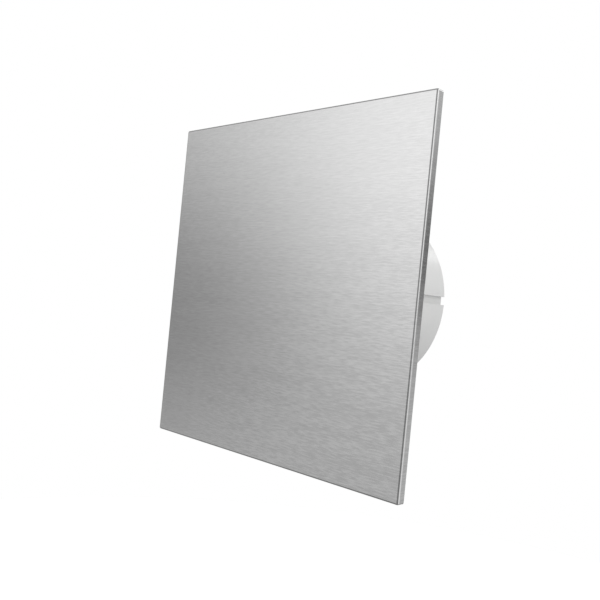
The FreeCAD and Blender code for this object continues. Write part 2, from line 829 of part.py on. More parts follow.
def add_tray_bosses(body):
    """Raised seats on the tray's floor for the wall screws, the cover and the cable clamp."""
    sketch = new_sketch(body, at=f"{TRAY_FLOOR} - wall_boss_height")
    for x, z in CORNERS:
        draw_circle(sketch, "wall_boss_radius",
                    f"{x} * wall_screw_spacing / 2", f"{z} * wall_screw_spacing / 2")
    pad(body, sketch, "wall_boss_height + base_plate / 2")
    sketch = new_sketch(body, at=COVER_INSIDE)
    for side in (-1, 1):
        draw_circle(sketch, "cover_boss_radius", "0", f"{side} * cover_screw_height")
    pad(body, sketch, "cover_reach - cover_plate - base_plate / 2")
    sketch = new_sketch(body, at=CLAMP_BACK)
    for side in (-1, 1):
        draw_circle(sketch, "clamp_boss_radius",
                    f"-wiring_x + {side} * clamp_spacing / 2", "-clamp_drop")
    pad(body, sketch, "clamp_stand_off + base_plate / 2")


def cut_lead_grooves(body):
    """The groove along each side of the spigot, from the tray's rim to the spigot's mouth."""
    for side in (-1, 1):
        sketch = new_sketch(body, at=RIM_FRONT)
        draw_rectangle(
            sketch, "2 * groove_depth", "groove_width",
            f"{side} * ({GROOVE_BOTTOM} + groove_depth)", "groove_rise",
        )
        pocket(body, sketch, "rim_reach + spigot_length")


def make_spigot():
    """The duct spigot: a collar on the tray's floor, a register in it, a spider inside."""
    body = new_body("spigot_housing")
    sketch = new_sketch(body, at=RIM_FRONT)
    draw_circle(sketch, "spigot_diameter / 2")
    pad(body, sketch, "rim_reach + spigot_length")
    for radius, start, length in (
        ("collar_radius", f"{TRAY_FLOOR} - collar_thickness", "collar_thickness"),
        ("spigot_diameter / 2 + register_step", TRAY_FLOOR, "base_plate"),
    ):
        sketch = new_sketch(body, at=start)
        draw_circle(sketch, radius)
        pad(body, sketch, length)
    sketch = new_sketch(body, at=RIM_FRONT)
    draw_circle(sketch, BORE)
    pocket(body, sketch, "rim_reach + spigot_length")
    for side in (-1, 1):
        sketch = new_sketch(body, at=RIM_FRONT)
        reach = f"({BORE} + spigot_wall / 2)"
        draw_rectangle(
            sketch, f"{reach} - {GROOVE_RIB}", "groove_width + 2 * groove_floor",
            f"{side} * ({reach} + {GROOVE_RIB}) / 2", "groove_rise",
        )
        pad(body, sketch, "rim_reach + spigot_length")
    cut_lead_grooves(body)
    add_spider(body)
    sketch = new_sketch(body, at="lead_slot_start")
    draw_rectangle(sketch, "3 * groove_depth", "2 * (lead_pitch + lead_radius + lead_gap)",
                   f"-{GROOVE_BOTTOM}", "groove_rise")
    pocket(body, sketch, "lead_slot_length")
    return body


def add_spider(body):
    """Four vanes and a plate behind the motor, with a boss for each motor screw."""
    sketch = new_sketch(body, at="vane_start", turn=45.0)
    reach = f"({BORE} + spigot_wall / 2)"
    inner = "(spider_radius - vane_root)"
    draw_rectangle(sketch, f"{reach} - {inner}", "vane_thickness", f"({reach} + {inner}) / 2")
    vane = pad(body, sketch, f"{SPIDER_BACK} - vane_start")
    repeat_round(body, [vane], 4)
    sketch = new_sketch(body, at="spider_start")
    draw_circle(sketch, "spider_radius")
    pad(body, sketch, "spider_plate")
    sketch = new_sketch(body, at=BOSS_FRONT)
    for side in (-1, 1):
        draw_circle(sketch, "washer_radius", f"{side} * motor_screw_x")
    pad(body, sketch, f"{SPIDER_BACK} - {BOSS_FRONT}")
    sketch = new_sketch(body, at="vane_start")
    draw_circle(sketch, "spider_bore")
    pocket(body, sketch, f"{SPIDER_BACK} - vane_start")
    sketch = new_sketch(body, at=BOSS_FRONT)
    for side in (-1, 1):
        draw_circle(sketch, "motor_screw_radius", f"{side} * motor_screw_x")
    pocket(body, sketch, f"{SPIDER_BACK} - {BOSS_FRONT} - motor_screw_floor")


def add_tray_holes(body):
    """Holes for the wall screws, the cover screws, the clamp screws and the cable."""
    deep = "rim_reach + 2 * base_plate"
    sketch = new_sketch(body, at=RIM_FRONT)
    for x, z in CORNERS:
        draw_circle(sketch, "wall_screw_hole / 2",
                    f"{x} * wall_screw_spacing / 2", f"{z} * wall_screw_spacing / 2")
    pocket(body, sketch, deep)
    sketch = new_sketch(body, at=RIM_FRONT)
    draw_circle(sketch, "cable_hole_radius", "-wiring_x", "-cable_hole_drop")
    pocket(body, sketch, deep)
    sketch = new_sketch(body, at=COVER_INSIDE)
    for side in (-1, 1):
        draw_circle(sketch, "cover_screw_hole / 2 - cover_screw_gap + cover_thread_gap", "0",
                    f"{side} * cover_screw_height")
    pocket(body, sketch, "cover_reach - cover_plate - base_plate")
    sketch = new_sketch(body, at=CLAMP_BACK)
    for side in (-1, 1):
        draw_circle(sketch, "clamp_screw_radius", f"-wiring_x + {side} * clamp_spacing / 2",
                    "-clamp_drop")
    pocket(body, sketch, "clamp_stand_off + base_plate / 2")


# ---------------------------------------------------------------- Mains connection


def make_terminal_block():
    """The two-pole terminal block's insulating body."""
    body = new_body("terminal_block")
    sketch = new_sketch(body, at=f"{TRAY_FLOOR} - block_depth")
    draw_rounded(sketch, "block_width", "block_height", "block_edge",
                 "-wiring_x", "groove_rise")
    pad(body, sketch, "block_depth")
    sketch = new_sketch(body, "YZ_Plane", at="-wiring_x - block_width")
    for side in (-1, 1):
        draw_circle(sketch, "pole_radius", POLE_Y,
                    f"groove_rise + {side} * pole_spacing / 2")
    pocket(body, sketch, "2 * block_width")
    sketch = new_sketch(body, at=f"{TRAY_FLOOR} - block_depth")
    for side in (-1, 1):
        for column in (-1, 1):
            draw_circle(sketch, "terminal_screw_radius",
                        f"-wiring_x + {column} * block_width / 4",
                        f"groove_rise + {side} * pole_spacing / 2")
    pocket(body, sketch, "block_depth - pole_depth")
    sketch = new_sketch(body, at=f"{TRAY_FLOOR} - block_depth")
    draw_rectangle(sketch, "2 * block_width", "block_notch", "-wiring_x", "groove_rise")
    pocket(body, sketch, "block_notch_depth")
    return body


def make_terminal_tubes():
    """The brass tube of each pole."""
    tubes = []
    for side in (-1, 1):
        pieces = []
        for radius in ("pole_radius", "pole_bore"):
            piece = doc.addObject("Part::Cylinder", f"pole_{side + 1}_{radius}")
            piece.Placement = Placement(Vector(), Rotation(Vector(0, 1, 0), 90))
            bind(
                piece, Radius=radius, Height="block_width - 2 * pole_inset",
                Placement__Base__x="-wiring_x - block_width / 2 + pole_inset",
                Placement__Base__y=POLE_Y,
                Placement__Base__z=f"groove_rise + {side} * pole_spacing / 2",
            )
            pieces.append(piece)
        tubes.append(cut(f"pole_tube_{side + 1}", *pieces))
    return label(group("pole_tubes", tubes), "terminal_tubes")


def make_terminal_screws():
    """Two slotted clamp screws on each pole, bearing on its tube."""
    screws = []
    seat = f"{POLE_Y} - pole_radius"
    length = "(block_depth - pole_depth - pole_radius - terminal_screw_set_back)"
    for side in (-1, 1):
        for column in (-1, 1):
            screws.append(screw(
                f"terminal_screw_{side + 1}_{column + 1}",
                f"(-wiring_x + {column} * block_width / 4)",
                f"(groove_rise + {side} * pole_spacing / 2)", f"{seat} - {length} / 2",
                ("terminal_screw_radius", f"{length} / 2"),
                ("terminal_screw_radius - terminal_screw_gap", f"{length} / 2"), arms=1,
            ))
    return label(group("terminal_screw_set", screws), "terminal_screws")


def make_cable_clamp():
    """The arched bar that grips the mains cable."""
    body = new_body("cable_clamp")
    sketch = new_sketch(body, "XY_Plane", at="-clamp_drop - clamp_width / 2")
    draw_rounded(sketch, "clamp_spacing + 2 * clamp_boss_radius", "clamp_bar", "clamp_edge",
                 "-wiring_x", f"{CLAMP_BACK} - clamp_bar / 2")
    pad(body, sketch, "clamp_width")
    sketch = new_sketch(body, "XY_Plane", at="-clamp_drop - clamp_width / 2")
    draw_circle(sketch, "clamp_arch", "-wiring_x", f"{CLAMP_BACK} + clamp_arch / 2")
    pocket(body, sketch, "clamp_width")
    sketch = new_sketch(body, at=f"{CLAMP_BACK} - clamp_bar")
    for side in (-1, 1):
        draw_circle(sketch, "clamp_screw_radius + clamp_screw_gap",
                    f"-wiring_x + {side} * clamp_spacing / 2", "-clamp_drop")
    pocket(body, sketch, "clamp_bar")
    return body


def make_clamp_screws():
    """The two screws through the cable clamp."""
    screws = [
        screw(
            f"clamp_screw_{side + 1}", f"(-wiring_x + {side} * clamp_spacing / 2)",
            "(-clamp_drop)", f"{CLAMP_BACK} - clamp_bar",
            ("clamp_head_radius", "clamp_head_depth"),
            ("clamp_screw_radius", "clamp_bar + clamp_stand_off"), arms=1,
        )
        for side in (-1, 1)
    ]
    return label(group("clamp_screw_pair", screws), "cable_clamp_screws")


def make_grommet():
    """The rubber bush in the cable hole."""
    body = new_body("cable_grommet")
    revolve(body, [
        ("grommet_bore", f"{TRAY_FLOOR} - grommet_flange"),
        ("grommet_flange_radius", f"{TRAY_FLOOR} - grommet_flange"),
        ("grommet_flange_radius", TRAY_FLOOR),
        ("cable_hole_radius", TRAY_FLOOR),
        ("cable_hole_radius", "-grommet_set_back"),
        ("grommet_bore", "-grommet_set_back"),
    ])
    bind(body, Placement__Base__x="-wiring_x", Placement__Base__z="-cable_hole_drop")
    return body


# ---------------------------------------------------------------- Motor


def make_stator():
    """The C frame of laminations, bored for the rotor and open for the coil."""
    body = new_body("stator_laminations")
    middle = "(frame_top - frame_bottom) / 2"
    sketch = new_sketch(body, at="stack_start")
    draw_rectangle(sketch, "frame_width", "frame_top + frame_bottom", "0", middle)
    frame = pad(body, sketch, "stack_length")
    bevel_corners(body, frame, "frame_bevel")
    sketch = new_sketch(body, at="stack_start")
    draw_circle(sketch, "rotor_radius + air_gap")
    pocket(body, sketch, "stack_length")
    sketch = new_sketch(body, at="stack_start")
    draw_rectangle(sketch, "frame_width - 2 * limb_width", "window_height", "0",
                   "-frame_bottom + leg_height + window_height / 2")
    pocket(body, sketch, "stack_length")
    sketch = new_sketch(body, at="stack_start")
    for side in (-1, 1):
        draw_circle(sketch, "motor_screw_radius + motor_screw_gap", f"{side} * motor_screw_x")
    pocket(body, sketch, "stack_length")
    for angle in SHADE_ANGLES:
        sketch = new_sketch(body, at="stack_start", turn=angle)
        for end in (-1, 1):
            draw_rectangle(sketch, "shade_bar + 2 * shade_gap", "shade_bar + 2 * shade_gap",
                           "0", f"{end} * shade_span / 2")
        bind(
            sketch,
            AttachmentOffset__Base__x=f"shade_radius * cos({angle} deg)",
            AttachmentOffset__Base__y=f"shade_radius * sin({angle} deg)",
        )
        pocket(body, sketch, "stack_length")
    return body


def make_shading_rings():
    """A copper loop round each shaded pole tip."""
    rings = []
    for angle in SHADE_ANGLES:
        outer = radial_block(
            "shade_loop", angle, "shade_radius", "stack_start - shade_bar",
            "shade_bar", "stack_length + 2 * shade_bar", "shade_span + shade_bar",
        )
        inner = radial_block(
            "shade_window", angle, "shade_radius", "stack_start",
            "3 * shade_bar", "stack_length", "shade_span - shade_bar",
        )
        rings.append(cut("shade_ring", outer, inner))
    return label(group("shade_rings", rings), "shading_rings")


def make_bobbin():
    """The coil's former on the frame's lower leg."""
    body = new_body("coil_bobbin")
    sketch = new_sketch(body, "YZ_Plane", at="-bobbin_length / 2")
    inner = ("stack_length + 2 * bobbin_gap", "leg_height + 2 * bobbin_gap")
    draw_rectangle(sketch, f"{inner[0]} + 2 * bobbin_wall", f"{inner[1]} + 2 * bobbin_wall",
                   STACK_MIDDLE, LEG_MIDDLE)
    pad(body, sketch, "bobbin_length")
    for start in ("-bobbin_length / 2", "bobbin_length / 2 - bobbin_flange"):
        sketch = new_sketch(body, "YZ_Plane", at=start)
        draw_rounded(
            sketch, f"{inner[0]} + 2 * (bobbin_wall + bobbin_rise)",
            f"{inner[1]} + 2 * (bobbin_wall + bobbin_rise)", "bobbin_corner",
            STACK_MIDDLE, LEG_MIDDLE,
        )
        pad(body, sketch, "bobbin_flange")
    sketch = new_sketch(body, "YZ_Plane", at="-bobbin_length / 2")
    draw_rectangle(sketch, *inner, STACK_MIDDLE, LEG_MIDDLE)
    pocket(body, sketch, "bobbin_length")
    return body


def make_winding():
    """The wound coil, as one bundle round the bobbin."""
    body = new_body("coil_winding")
    start = "-bobbin_length / 2 + bobbin_flange"
    length = "bobbin_length - 2 * bobbin_flange"
    sketch = new_sketch(body, "YZ_Plane", at=start)
    depth = "stack_length + 2 * (bobbin_gap + bobbin_wall)"
    height = "leg_height + 2 * (bobbin_gap + bobbin_wall)"
    draw_rounded(sketch, f"{depth} + 2 * winding_rise", f"{height} + 2 * winding_rise",
                 "winding_corner", STACK_MIDDLE, LEG_MIDDLE)
    pad(body, sketch, length)
    sketch = new_sketch(body, "YZ_Plane", at=start)
    draw_rectangle(sketch, depth, height, STACK_MIDDLE, LEG_MIDDLE)
    pocket(body, sketch, length)
    return body


def make_coil_pins():
    """The two tinned pins on the bobbin's left flange."""
    pins = []
    for side in (-1, 1):
        pin = doc.addObject("Part::Cylinder", f"coil_pin_{side + 1}")
        pin.Placement = Placement(Vector(), Rotation(Vector(0, 1, 0), -90))
        bind(
            pin, Radius="pin_radius", Height="pin_length",
            Placement__Base__x="-bobbin_length / 2",
            Placement__Base__y=COIL_PIN_Y,
            Placement__Base__z=f"{LEG_MIDDLE} + {side} * leg_height / 2",
        )
        pins.append(pin)
    return label(group("coil_pin_pair", pins), "coil_pins")


def make_thermal_fuse():
    """The thermal fuse that lies against the winding's duct side."""
    fuse_body = doc.addObject("Part::Cylinder", "fuse_body")
    fuse_body.Placement = Placement(Vector(), Rotation(Vector(0, 1, 0), 90))
    bind(
        fuse_body, Radius="fuse_radius", Height="fuse_length",
        Placement__Base__x="-fuse_length / 2",
        Placement__Base__y=f"{STACK_BACK} + bobbin_gap + bobbin_wall + winding_rise"
        " + fuse_radius",
        Placement__Base__z=LEG_MIDDLE,
    )
    return label(fuse_body, "thermal_fuse")


def outwards(side, distance):
    """A depth measured out from the stack's middle, towards the room (-1) or the duct (1)."""
    return f"{STACK_MIDDLE} + {side} * ({distance})"


def make_bridge(name, side):
    """A bearing bridge across the rotor, screwed to the laminations at both ends."""
    body = new_body(name)
    sketch = new_sketch(body, "XY_Plane", at="-bridge_width / 2")
    half = "frame_width / 2"
    foot_in = outwards(side, "stack_length / 2")
    foot_out = outwards(side, BRIDGE_FOOT)
    top_in = outwards(side, "stack_length / 2 + bridge_height")
    top_out = outwards(side, "stack_length / 2 + bridge_height + bridge_sheet")
    right = [
        ("bridge_half_top", top_out), ("bridge_half_foot", foot_out), (half, foot_out),
        (half, foot_in), ("bridge_half_foot - bridge_foot_step", foot_in),
        ("bridge_half_top - bridge_top_step", top_in),
    ]
    left = [(f"-({x})", y) for x, y in reversed(right)]
    draw_polygon(sketch, right + left)
    pad(body, sketch, "bridge_width")
    seat = outwards(side, BEARING_INNER)
    seat_end = outwards(side, BEARING_OUTER)
    boss_end = outwards(side, f"{BEARING_INNER} + bearing_boss_length")
    revolve(body, [
        ("bearing_radius - bearing_boss_root", seat), ("bearing_boss_radius", seat),
        ("bearing_boss_radius", boss_end), ("bearing_radius - bearing_boss_root", boss_end),
    ])
    clear = outwards(side, "stack_length / 2")
    beyond = outwards(side, f"{BEARING_INNER} + 2 * bearing_boss_length")
    revolve(body, [
        ("0", clear), ("bearing_radius", clear), ("bearing_radius", seat_end),
        ("bearing_lip_radius", seat_end), ("bearing_lip_radius", beyond), ("0", beyond),
    ], kind="Groove")
    first = foot_out if side < 0 else foot_in
    sketch = new_sketch(body, at=first)
    for end in (-1, 1):
        draw_circle(sketch, "motor_screw_radius + motor_screw_gap", f"{end} * motor_screw_x")
    pocket(body, sketch, "bridge_sheet")
    return body


def make_race(name, side, inner, outer):
    """One ring of a ball bearing, with the groove that its balls run in."""
    body = new_body(name)
    near, far = outwards(side, BEARING_INNER), outwards(side, BEARING_OUTER)
    revolve(body, [(inner, near), (outer, near), (outer, far), (inner, far)])
    sketch = new_sketch(body, "XY_Plane")
    middle = outwards(side, f"{BEARING_INNER} + bearing_width / 2")
    draw_circle(sketch, "ball_radius + ball_gap", "ball_pitch_radius", middle)
    groove = add_feature(body, "Groove", sketch)
    groove.ReferenceAxis = (origin_feature(body, "Y_Axis"), [""])
    groove.Angle = 360.0
    finish(body, groove)
    return body


def make_balls(name, side):
    """The balls of one bearing."""
    balls = []
    for number in range(BALLS):
        ball = doc.addObject("Part::Sphere", f"{name}_{number}")
        angle = 360.0 * number / BALLS
        bind(
            ball, Radius="ball_radius",
            Placement__Base__x=f"ball_pitch_radius * cos({angle} deg)",
            Placement__Base__y=outwards(side, f"{BEARING_INNER} + bearing_width / 2"),
            Placement__Base__z=f"ball_pitch_radius * sin({angle} deg)",
        )
        balls.append(ball)
    return label(group(f"{name}_set", balls), name)


def make_shaft():
    """The motor shaft, which carries the rotor and the impeller."""
    body = new_body("motor_shaft")
    revolve(body, [
        ("0", "-shaft_front"), ("shaft_radius - shaft_bevel", "-shaft_front"),
        ("shaft_radius", "-shaft_front + shaft_bevel"),
        ("shaft_radius", "shaft_rear - shaft_bevel"),
        ("shaft_radius - shaft_bevel", "shaft_rear"), ("0", "shaft_rear"),
    ])
    return body


def make_rotor_core():
    """The rotor's laminations."""
    body = new_body("rotor_core")
    revolve(body, [
        ("shaft_radius", "stack_start"), ("rotor_radius", "stack_start"),
        ("rotor_radius", STACK_BACK), ("shaft_radius", STACK_BACK),
    ])
    return body


def make_end_rings():
    """The cast end rings of the rotor's cage."""
    rings = []
    for side in (-1, 1):
        start = f"{STACK_MIDDLE} + {side} * (stack_length + end_ring) / 2 - end_ring / 2"
        reach = "rotor_radius - end_ring_inset"
        disc = rod(f"cage_disc_{side + 1}", reach, start, "end_ring")
        hole = rod(f"cage_hole_{side + 1}", f"{reach} - end_ring_wall", start, "end_ring")
        rings.append(cut(f"cage_ring_{side + 1}", disc, hole))
    return label(group("cage_rings", rings), "rotor_end_rings")


def make_spacers():
    """The sleeves that hold the rotor between the bearings' inner rings."""
    sleeves = []
    length = "bearing_inset"
    for side in (-1, 1):
        start = f"{STACK_MIDDLE} + {side} * (stack_length + {length}) / 2 - {length} / 2"
        sleeve = rod(f"sleeve_{side + 1}", "shaft_radius + spacer_wall", start, length)
        hole = rod(f"sleeve_hole_{side + 1}", "shaft_radius", start, length)
        sleeves.append(cut(f"sleeve_ring_{side + 1}", sleeve, hole))
    return label(group("sleeve_pair", sleeves), "shaft_spacers")


def make_motor_screws():
    """The long screws through the bridges and the stack into the spider."""
    screws = [
        screw(
            f"motor_screw_{side + 1}", f"({side} * motor_screw_x)", "0",
            outwards(-1, BRIDGE_FOOT), ("motor_screw_head_radius", "motor_screw_head"),
            ("motor_screw_radius", "motor_screw_length"),
        )
        for side in (-1, 1)
    ]
    return label(group("motor_screw_pair", screws), "motor_screws")


def make_washers():
    """Rubber washers between the motor and the spider."""
    washers = []
    for side in (-1, 1):
        x = f"{side} * motor_screw_x"
        disc = rod(f"washer_disc_{side + 1}", "washer_radius", WASHER_FRONT,
                   "washer_thickness", x)
        hole = rod(f"washer_hole_{side + 1}", "motor_screw_radius", WASHER_FRONT,
                   "washer_thickness", x)
        washers.append(cut(f"washer_{side + 1}", disc, hole))
    return label(group("washer_pair", washers), "vibration_washers")


# ---------------------------------------------------------------- Motor leads


def route_wire(points, share=0.45):
    """Straight runs joined by tangent arcs, each as large as its two runs allow."""
    edges, start, radii = [], points[0], []
    for before, corner, after in zip(points, points[1:], points[2:]):
        back, ahead = before - corner, after - corner
        turn = math.pi - back.getAngle(ahead)
        reach = share * min(back.Length, ahead.Length)
        radii.append(reach / math.tan(turn / 2))
        back.normalize()
        ahead.normalize()
        enter, leave = corner + back * reach, corner + ahead * reach
        inward = back + ahead
        inward.normalize()
        centre = corner + inward * (radii[-1] / math.cos(turn / 2))
        middle = centre - inward * radii[-1]
        edges.append(Part.LineSegment(start, enter).toShape())
        edges.append(Part.Arc(enter, middle, leave).toShape())
        start = leave
    edges.append(Part.LineSegment(start, points[-1]).toShape())
    return Part.Wire(edges), radii


# How each lead runs from beside its coil pin to the slot in the spigot's wall.
LEAD_POINTS = {
    1: [(-25.0, 17.0, -24.5), (-27.5, 30.0, -8.0), (-36.0, 34.0, 2.7)],
    -1: [(-27.0, 17.0, -32.5), (-32.0, 30.0, -12.0), (-38.5, 34.0, 0.7)],
}


def make_lead(name, side):
    """One motor lead: from its pin, out through the spigot's wall and along the left groove."""
    size = SIZES
    inside = [Vector(*point) for point in LEAD_POINTS[side]]
    first, last = inside[0], inside[-1]
    radius = size["lead_radius"]
    groove_x = -(size["spigot_diameter"] / 2 - size["groove_depth"] + radius + size["lead_gap"])
    pin_x = -size["bobbin_length"] / 2 - size["pin_length"]
    tube_x = -size["wiring_x"] + size["block_width"] / 2 - size["pole_inset"]
    pole_y = -size["base_plate"] - size["pole_depth"]
    pole_z = size["groove_rise"] + side * size["pole_spacing"] / 2
    path, radii = route_wire([
        Vector(pin_x, first.y, first.z), *inside,
        Vector(groove_x, last.y, last.z),
        Vector(groove_x, -size["lead_turn"], last.z),
        Vector(groove_x - size["lead_step"], pole_y, last.z),
        Vector(tube_x - size["lead_run_out"], pole_y, pole_z),
        Vector(tube_x - size["lead_entry"], pole_y, pole_z),
    ])
    circle = Part.Circle(Vector(pin_x, first.y, first.z), Vector(1, 0, 0), radius)
    pipe = path.makePipeShell([Part.Wire([circle.toShape()])], True, False)
    lead = doc.addObject("Part::Feature", name)
    lead.Shape = pipe
    print(name, "length", round(path.Length, 1), "radii", [round(r, 1) for r in radii])
    if abs(pipe.Volume / (math.pi * radius**2 * path.Length) - 1) > 0.01:
        raise ValueError(f"{name}: the tube's volume isn't its section times its length")
    return label(lead, name)


# ---------------------------------------------------------------- Impeller


def draw_blade_section(sketch, chord, guess):
    """A cambered plate of constant thickness, its chord along the sketch's X."""
    rise = SIZES["blade_camber"]
    radius = guess**2 / (8 * rise) + rise / 2
    half_angle = math.asin(guess / 2 / radius)
    arcs = []
    for lift in (0.0, SIZES["blade_thickness"]):
        centre = Vector(0, lift + rise - radius, 0)
        circle = Part.Circle(centre, Vector(0, 0, 1), radius)
        arcs.append(sketch.addGeometry(
            Part.ArcOfCircle(circle, math.pi / 2 - half_angle, math.pi / 2 + half_angle),
            False,
        ))
    for side in (1, 2):
        ends = [
            Vector((1 if side == 1 else -1) * guess / 2, lift, 0)
            for lift in (0.0, SIZES["blade_thickness"])
        ]
        line = sketch.addGeometry(Part.LineSegment(*ends), False)
        for vertex, arc in ((1, arcs[0]), (2, arcs[1])):
            sketch.addConstraint(Sketcher.Constraint("Coincident", line, vertex, arc, side))
    for arc, lift in zip(arcs, ("0", "blade_thickness")):
        pin_point(sketch, arc, 1, f"({chord}) / 2", lift)
        pin_point(sketch, arc, 2, f"-({chord}) / 2", lift)
        set_radius(sketch, arc, f"({chord})^2 / (8 * blade_camber) + blade_camber / 2")


def make_impeller():
    """The axial impeller: a cup-shaped hub with twisted, cambered blades, turned to size."""
    body = new_body("impeller_casting")
    revolve(body, [
        ("0", "-hub_front"), ("hub_radius - hub_nose", "-hub_front"),
        ("hub_radius", "-hub_front + hub_nose"), ("hub_radius", "hub_rear"), ("0", "hub_rear"),
    ])
    tip = "(impeller_diameter / 2 + blade_turning)"
    sections = []
    for at, chord, pitch, guess in (
        ("blade_root_radius", "blade_root_chord", "blade_root_pitch", SIZES["blade_root_chord"]),
        (tip, "blade_tip_chord", "blade_tip_pitch", SIZES["blade_tip_chord"]),
    ):
        sketch = new_sketch(body, "YZ_Plane", at=at)
        sketch.AttachmentOffset = Placement(Vector(), Rotation(Vector(0, 0, 1), 90))
        bind(sketch, AttachmentOffset__Base__x="blade_middle",
             AttachmentOffset__Rotation__Angle=f"90 deg - {pitch} * 1 deg")
        draw_blade_section(sketch, chord, guess)
        sections.append(sketch)
    doc.recompute()
    blade = body.newObject("PartDesign::AdditiveLoft", "impeller_blade")
    blade.Profile = sections[0]
    blade.Sections = [sections[1]]
    finish(body, blade)
    repeat_round(body, [blade], BLADES)
    revolve(body, [
        ("hub_boss_radius", "-hub_front + hub_wall"),
        ("hub_radius - hub_wall - hub_fillet", "-hub_front + hub_wall"),
        ("hub_radius - hub_wall", "-hub_front + hub_wall + hub_fillet"),
        ("hub_radius - hub_wall", "2 * hub_rear"), ("0", "2 * hub_rear"),
        ("0", "hub_boss_rear"), ("hub_boss_radius", "hub_boss_rear"),
    ], kind="Groove")
    revolve(body, [
        ("0", "-2 * hub_front"), ("shaft_radius", "-2 * hub_front"),
        ("shaft_radius", "2 * hub_rear"), ("0", "2 * hub_rear"),
    ], kind="Groove")
    turned = doc.addObject("Part::Common", "turned_impeller")
    turned.Base = body
    turned.Tool = rod("turning_radius", "impeller_diameter / 2", "-3 * hub_front",
                      "3 * hub_front + 3 * hub_rear")
    return label(turned, "impeller")


def make_impeller_nut():
    """The hexagon nut that holds the impeller on the shaft."""
    body = new_body("impeller_nut")
    sketch = new_sketch(body, at="-hub_front - nut_thickness")
    corners = [(f"nut_flats / 2 / cos(30 deg) * cos({60 * k} deg)",
                f"nut_flats / 2 / cos(30 deg) * sin({60 * k} deg)") for k in range(6)]
    draw_polygon(sketch, corners)
    pad(body, sketch, "nut_thickness")
    sketch = new_sketch(body, at="-hub_front - nut_thickness")
    draw_circle(sketch, "shaft_radius")
    pocket(body, sketch, "nut_thickness")
    return body


# ---------------------------------------------------------------- Backdraught damper


def make_damper_ring():
    """The ring in the spigot's mouth, with the flaps' seat and a mullion behind the hinge."""
    body = new_body("damper_ring")
    revolve(body, [
        (f"{DAMPER_INNER} - seat_width", DAMPER_START), (DAMPER_OUTER, DAMPER_START),
        (DAMPER_OUTER, DAMPER_BACK), (DAMPER_INNER, DAMPER_BACK),
        (DAMPER_INNER, SEAT_BACK), (f"{DAMPER_INNER} - seat_width", SEAT_BACK),
    ])
    sketch = new_sketch(body, at=DAMPER_START)
    draw_rectangle(sketch, "mullion_width", f"2 * {DAMPER_INNER}")
    pad(body, sketch, "seat_thickness")
    sketch = new_sketch(body, at=DAMPER_START)
    for side in (-1, 1):
        draw_rectangle(
            sketch, f"2 * ({DAMPER_OUTER} - {GROOVE_RIB} + damper_gap)",
            "groove_width + 2 * groove_floor + 2 * damper_gap",
            f"{side} * {DAMPER_OUTER}", "groove_rise",
        )
    pocket(body, sketch, "damper_depth")
    sketch = new_sketch(body, "XY_Plane", at=f"-{DAMPER_OUTER} - 1")
    draw_circle(sketch, "hinge_pin_radius", "0", HINGE_Y)
    pocket(body, sketch, f"2 * {DAMPER_OUTER} + 2")
    return body


def make_hinge_pin():
    """The upright steel pin that both flaps turn on."""
    pin = doc.addObject("Part::Cylinder", "hinge_pin")
    reach = f"({DAMPER_OUTER} - hinge_pin_inset)"
    bind(
        pin, Radius="hinge_pin_radius", Height=f"2 * {reach}",
        Placement__Base__y=HINGE_Y, Placement__Base__z=f"-{reach}",
    )
    return label(pin, "damper_hinge_pin")


def make_flap(name, side):
    """A half-round flap with its knuckles on the hinge pin."""
    body = new_body(name)
    sketch = new_sketch(body, at=FLAP_FRONT)
    draw_half_disc(sketch, FLAP_RADIUS, "knuckle_radius + knuckle_gap", side)
    pad(body, sketch, "flap_thickness")
    add_flap_ribs(body, side)
    spans = list(zip(KNUCKLE_EDGES, KNUCKLE_EDGES[1:]))
    mine = spans[0::2] if side < 0 else spans[1::2]
    for high, low in mine:
        top = f"({FLAP_RADIUS} * {high} - knuckle_gap / 2)"
        bottom = f"({FLAP_RADIUS} * {low} + knuckle_gap / 2)"
        sketch = new_sketch(body, "XY_Plane", at=bottom)
        draw_circle(sketch, "knuckle_radius", "0", HINGE_Y)
        pad(body, sketch, f"{top} - {bottom}")
        sketch = new_sketch(body, "XY_Plane", at=bottom)
        web = "(knuckle_radius + knuckle_gap + knuckle_web)"
        draw_rectangle(sketch, web, "flap_thickness", f"{side} * {web} / 2",
                       f"({FLAP_FRONT} + {FLAP_BACK}) / 2")
        pad(body, sketch, f"{top} - {bottom}")
    sketch = new_sketch(body, "XY_Plane", at=f"-{FLAP_RADIUS}")
    draw_circle(sketch, "hinge_pin_radius + hinge_gap", "0", HINGE_Y)
    pocket(body, sketch, f"2 * {FLAP_RADIUS}")
    return body


def add_flap_ribs(body, side):
    """Level stiffening ribs on the duct side of a flap."""
    for level in FLAP_RIB_LEVELS:
        sketch = new_sketch(body, at=f"{FLAP_BACK} - flap_rib_root")
        near = "(knuckle_radius + knuckle_gap + knuckle_web / 2)"
        far = f"({FLAP_RADIUS} * {math.sqrt(1 - level**2)} - flap_rib_end)"
        draw_rectangle(sketch, f"{far} - {near}", "flap_rib",
                       f"{side} * ({far} + {near}) / 2", f"{FLAP_RADIUS} * {level}")
        pad(body, sketch, "flap_rib + flap_rib_root")


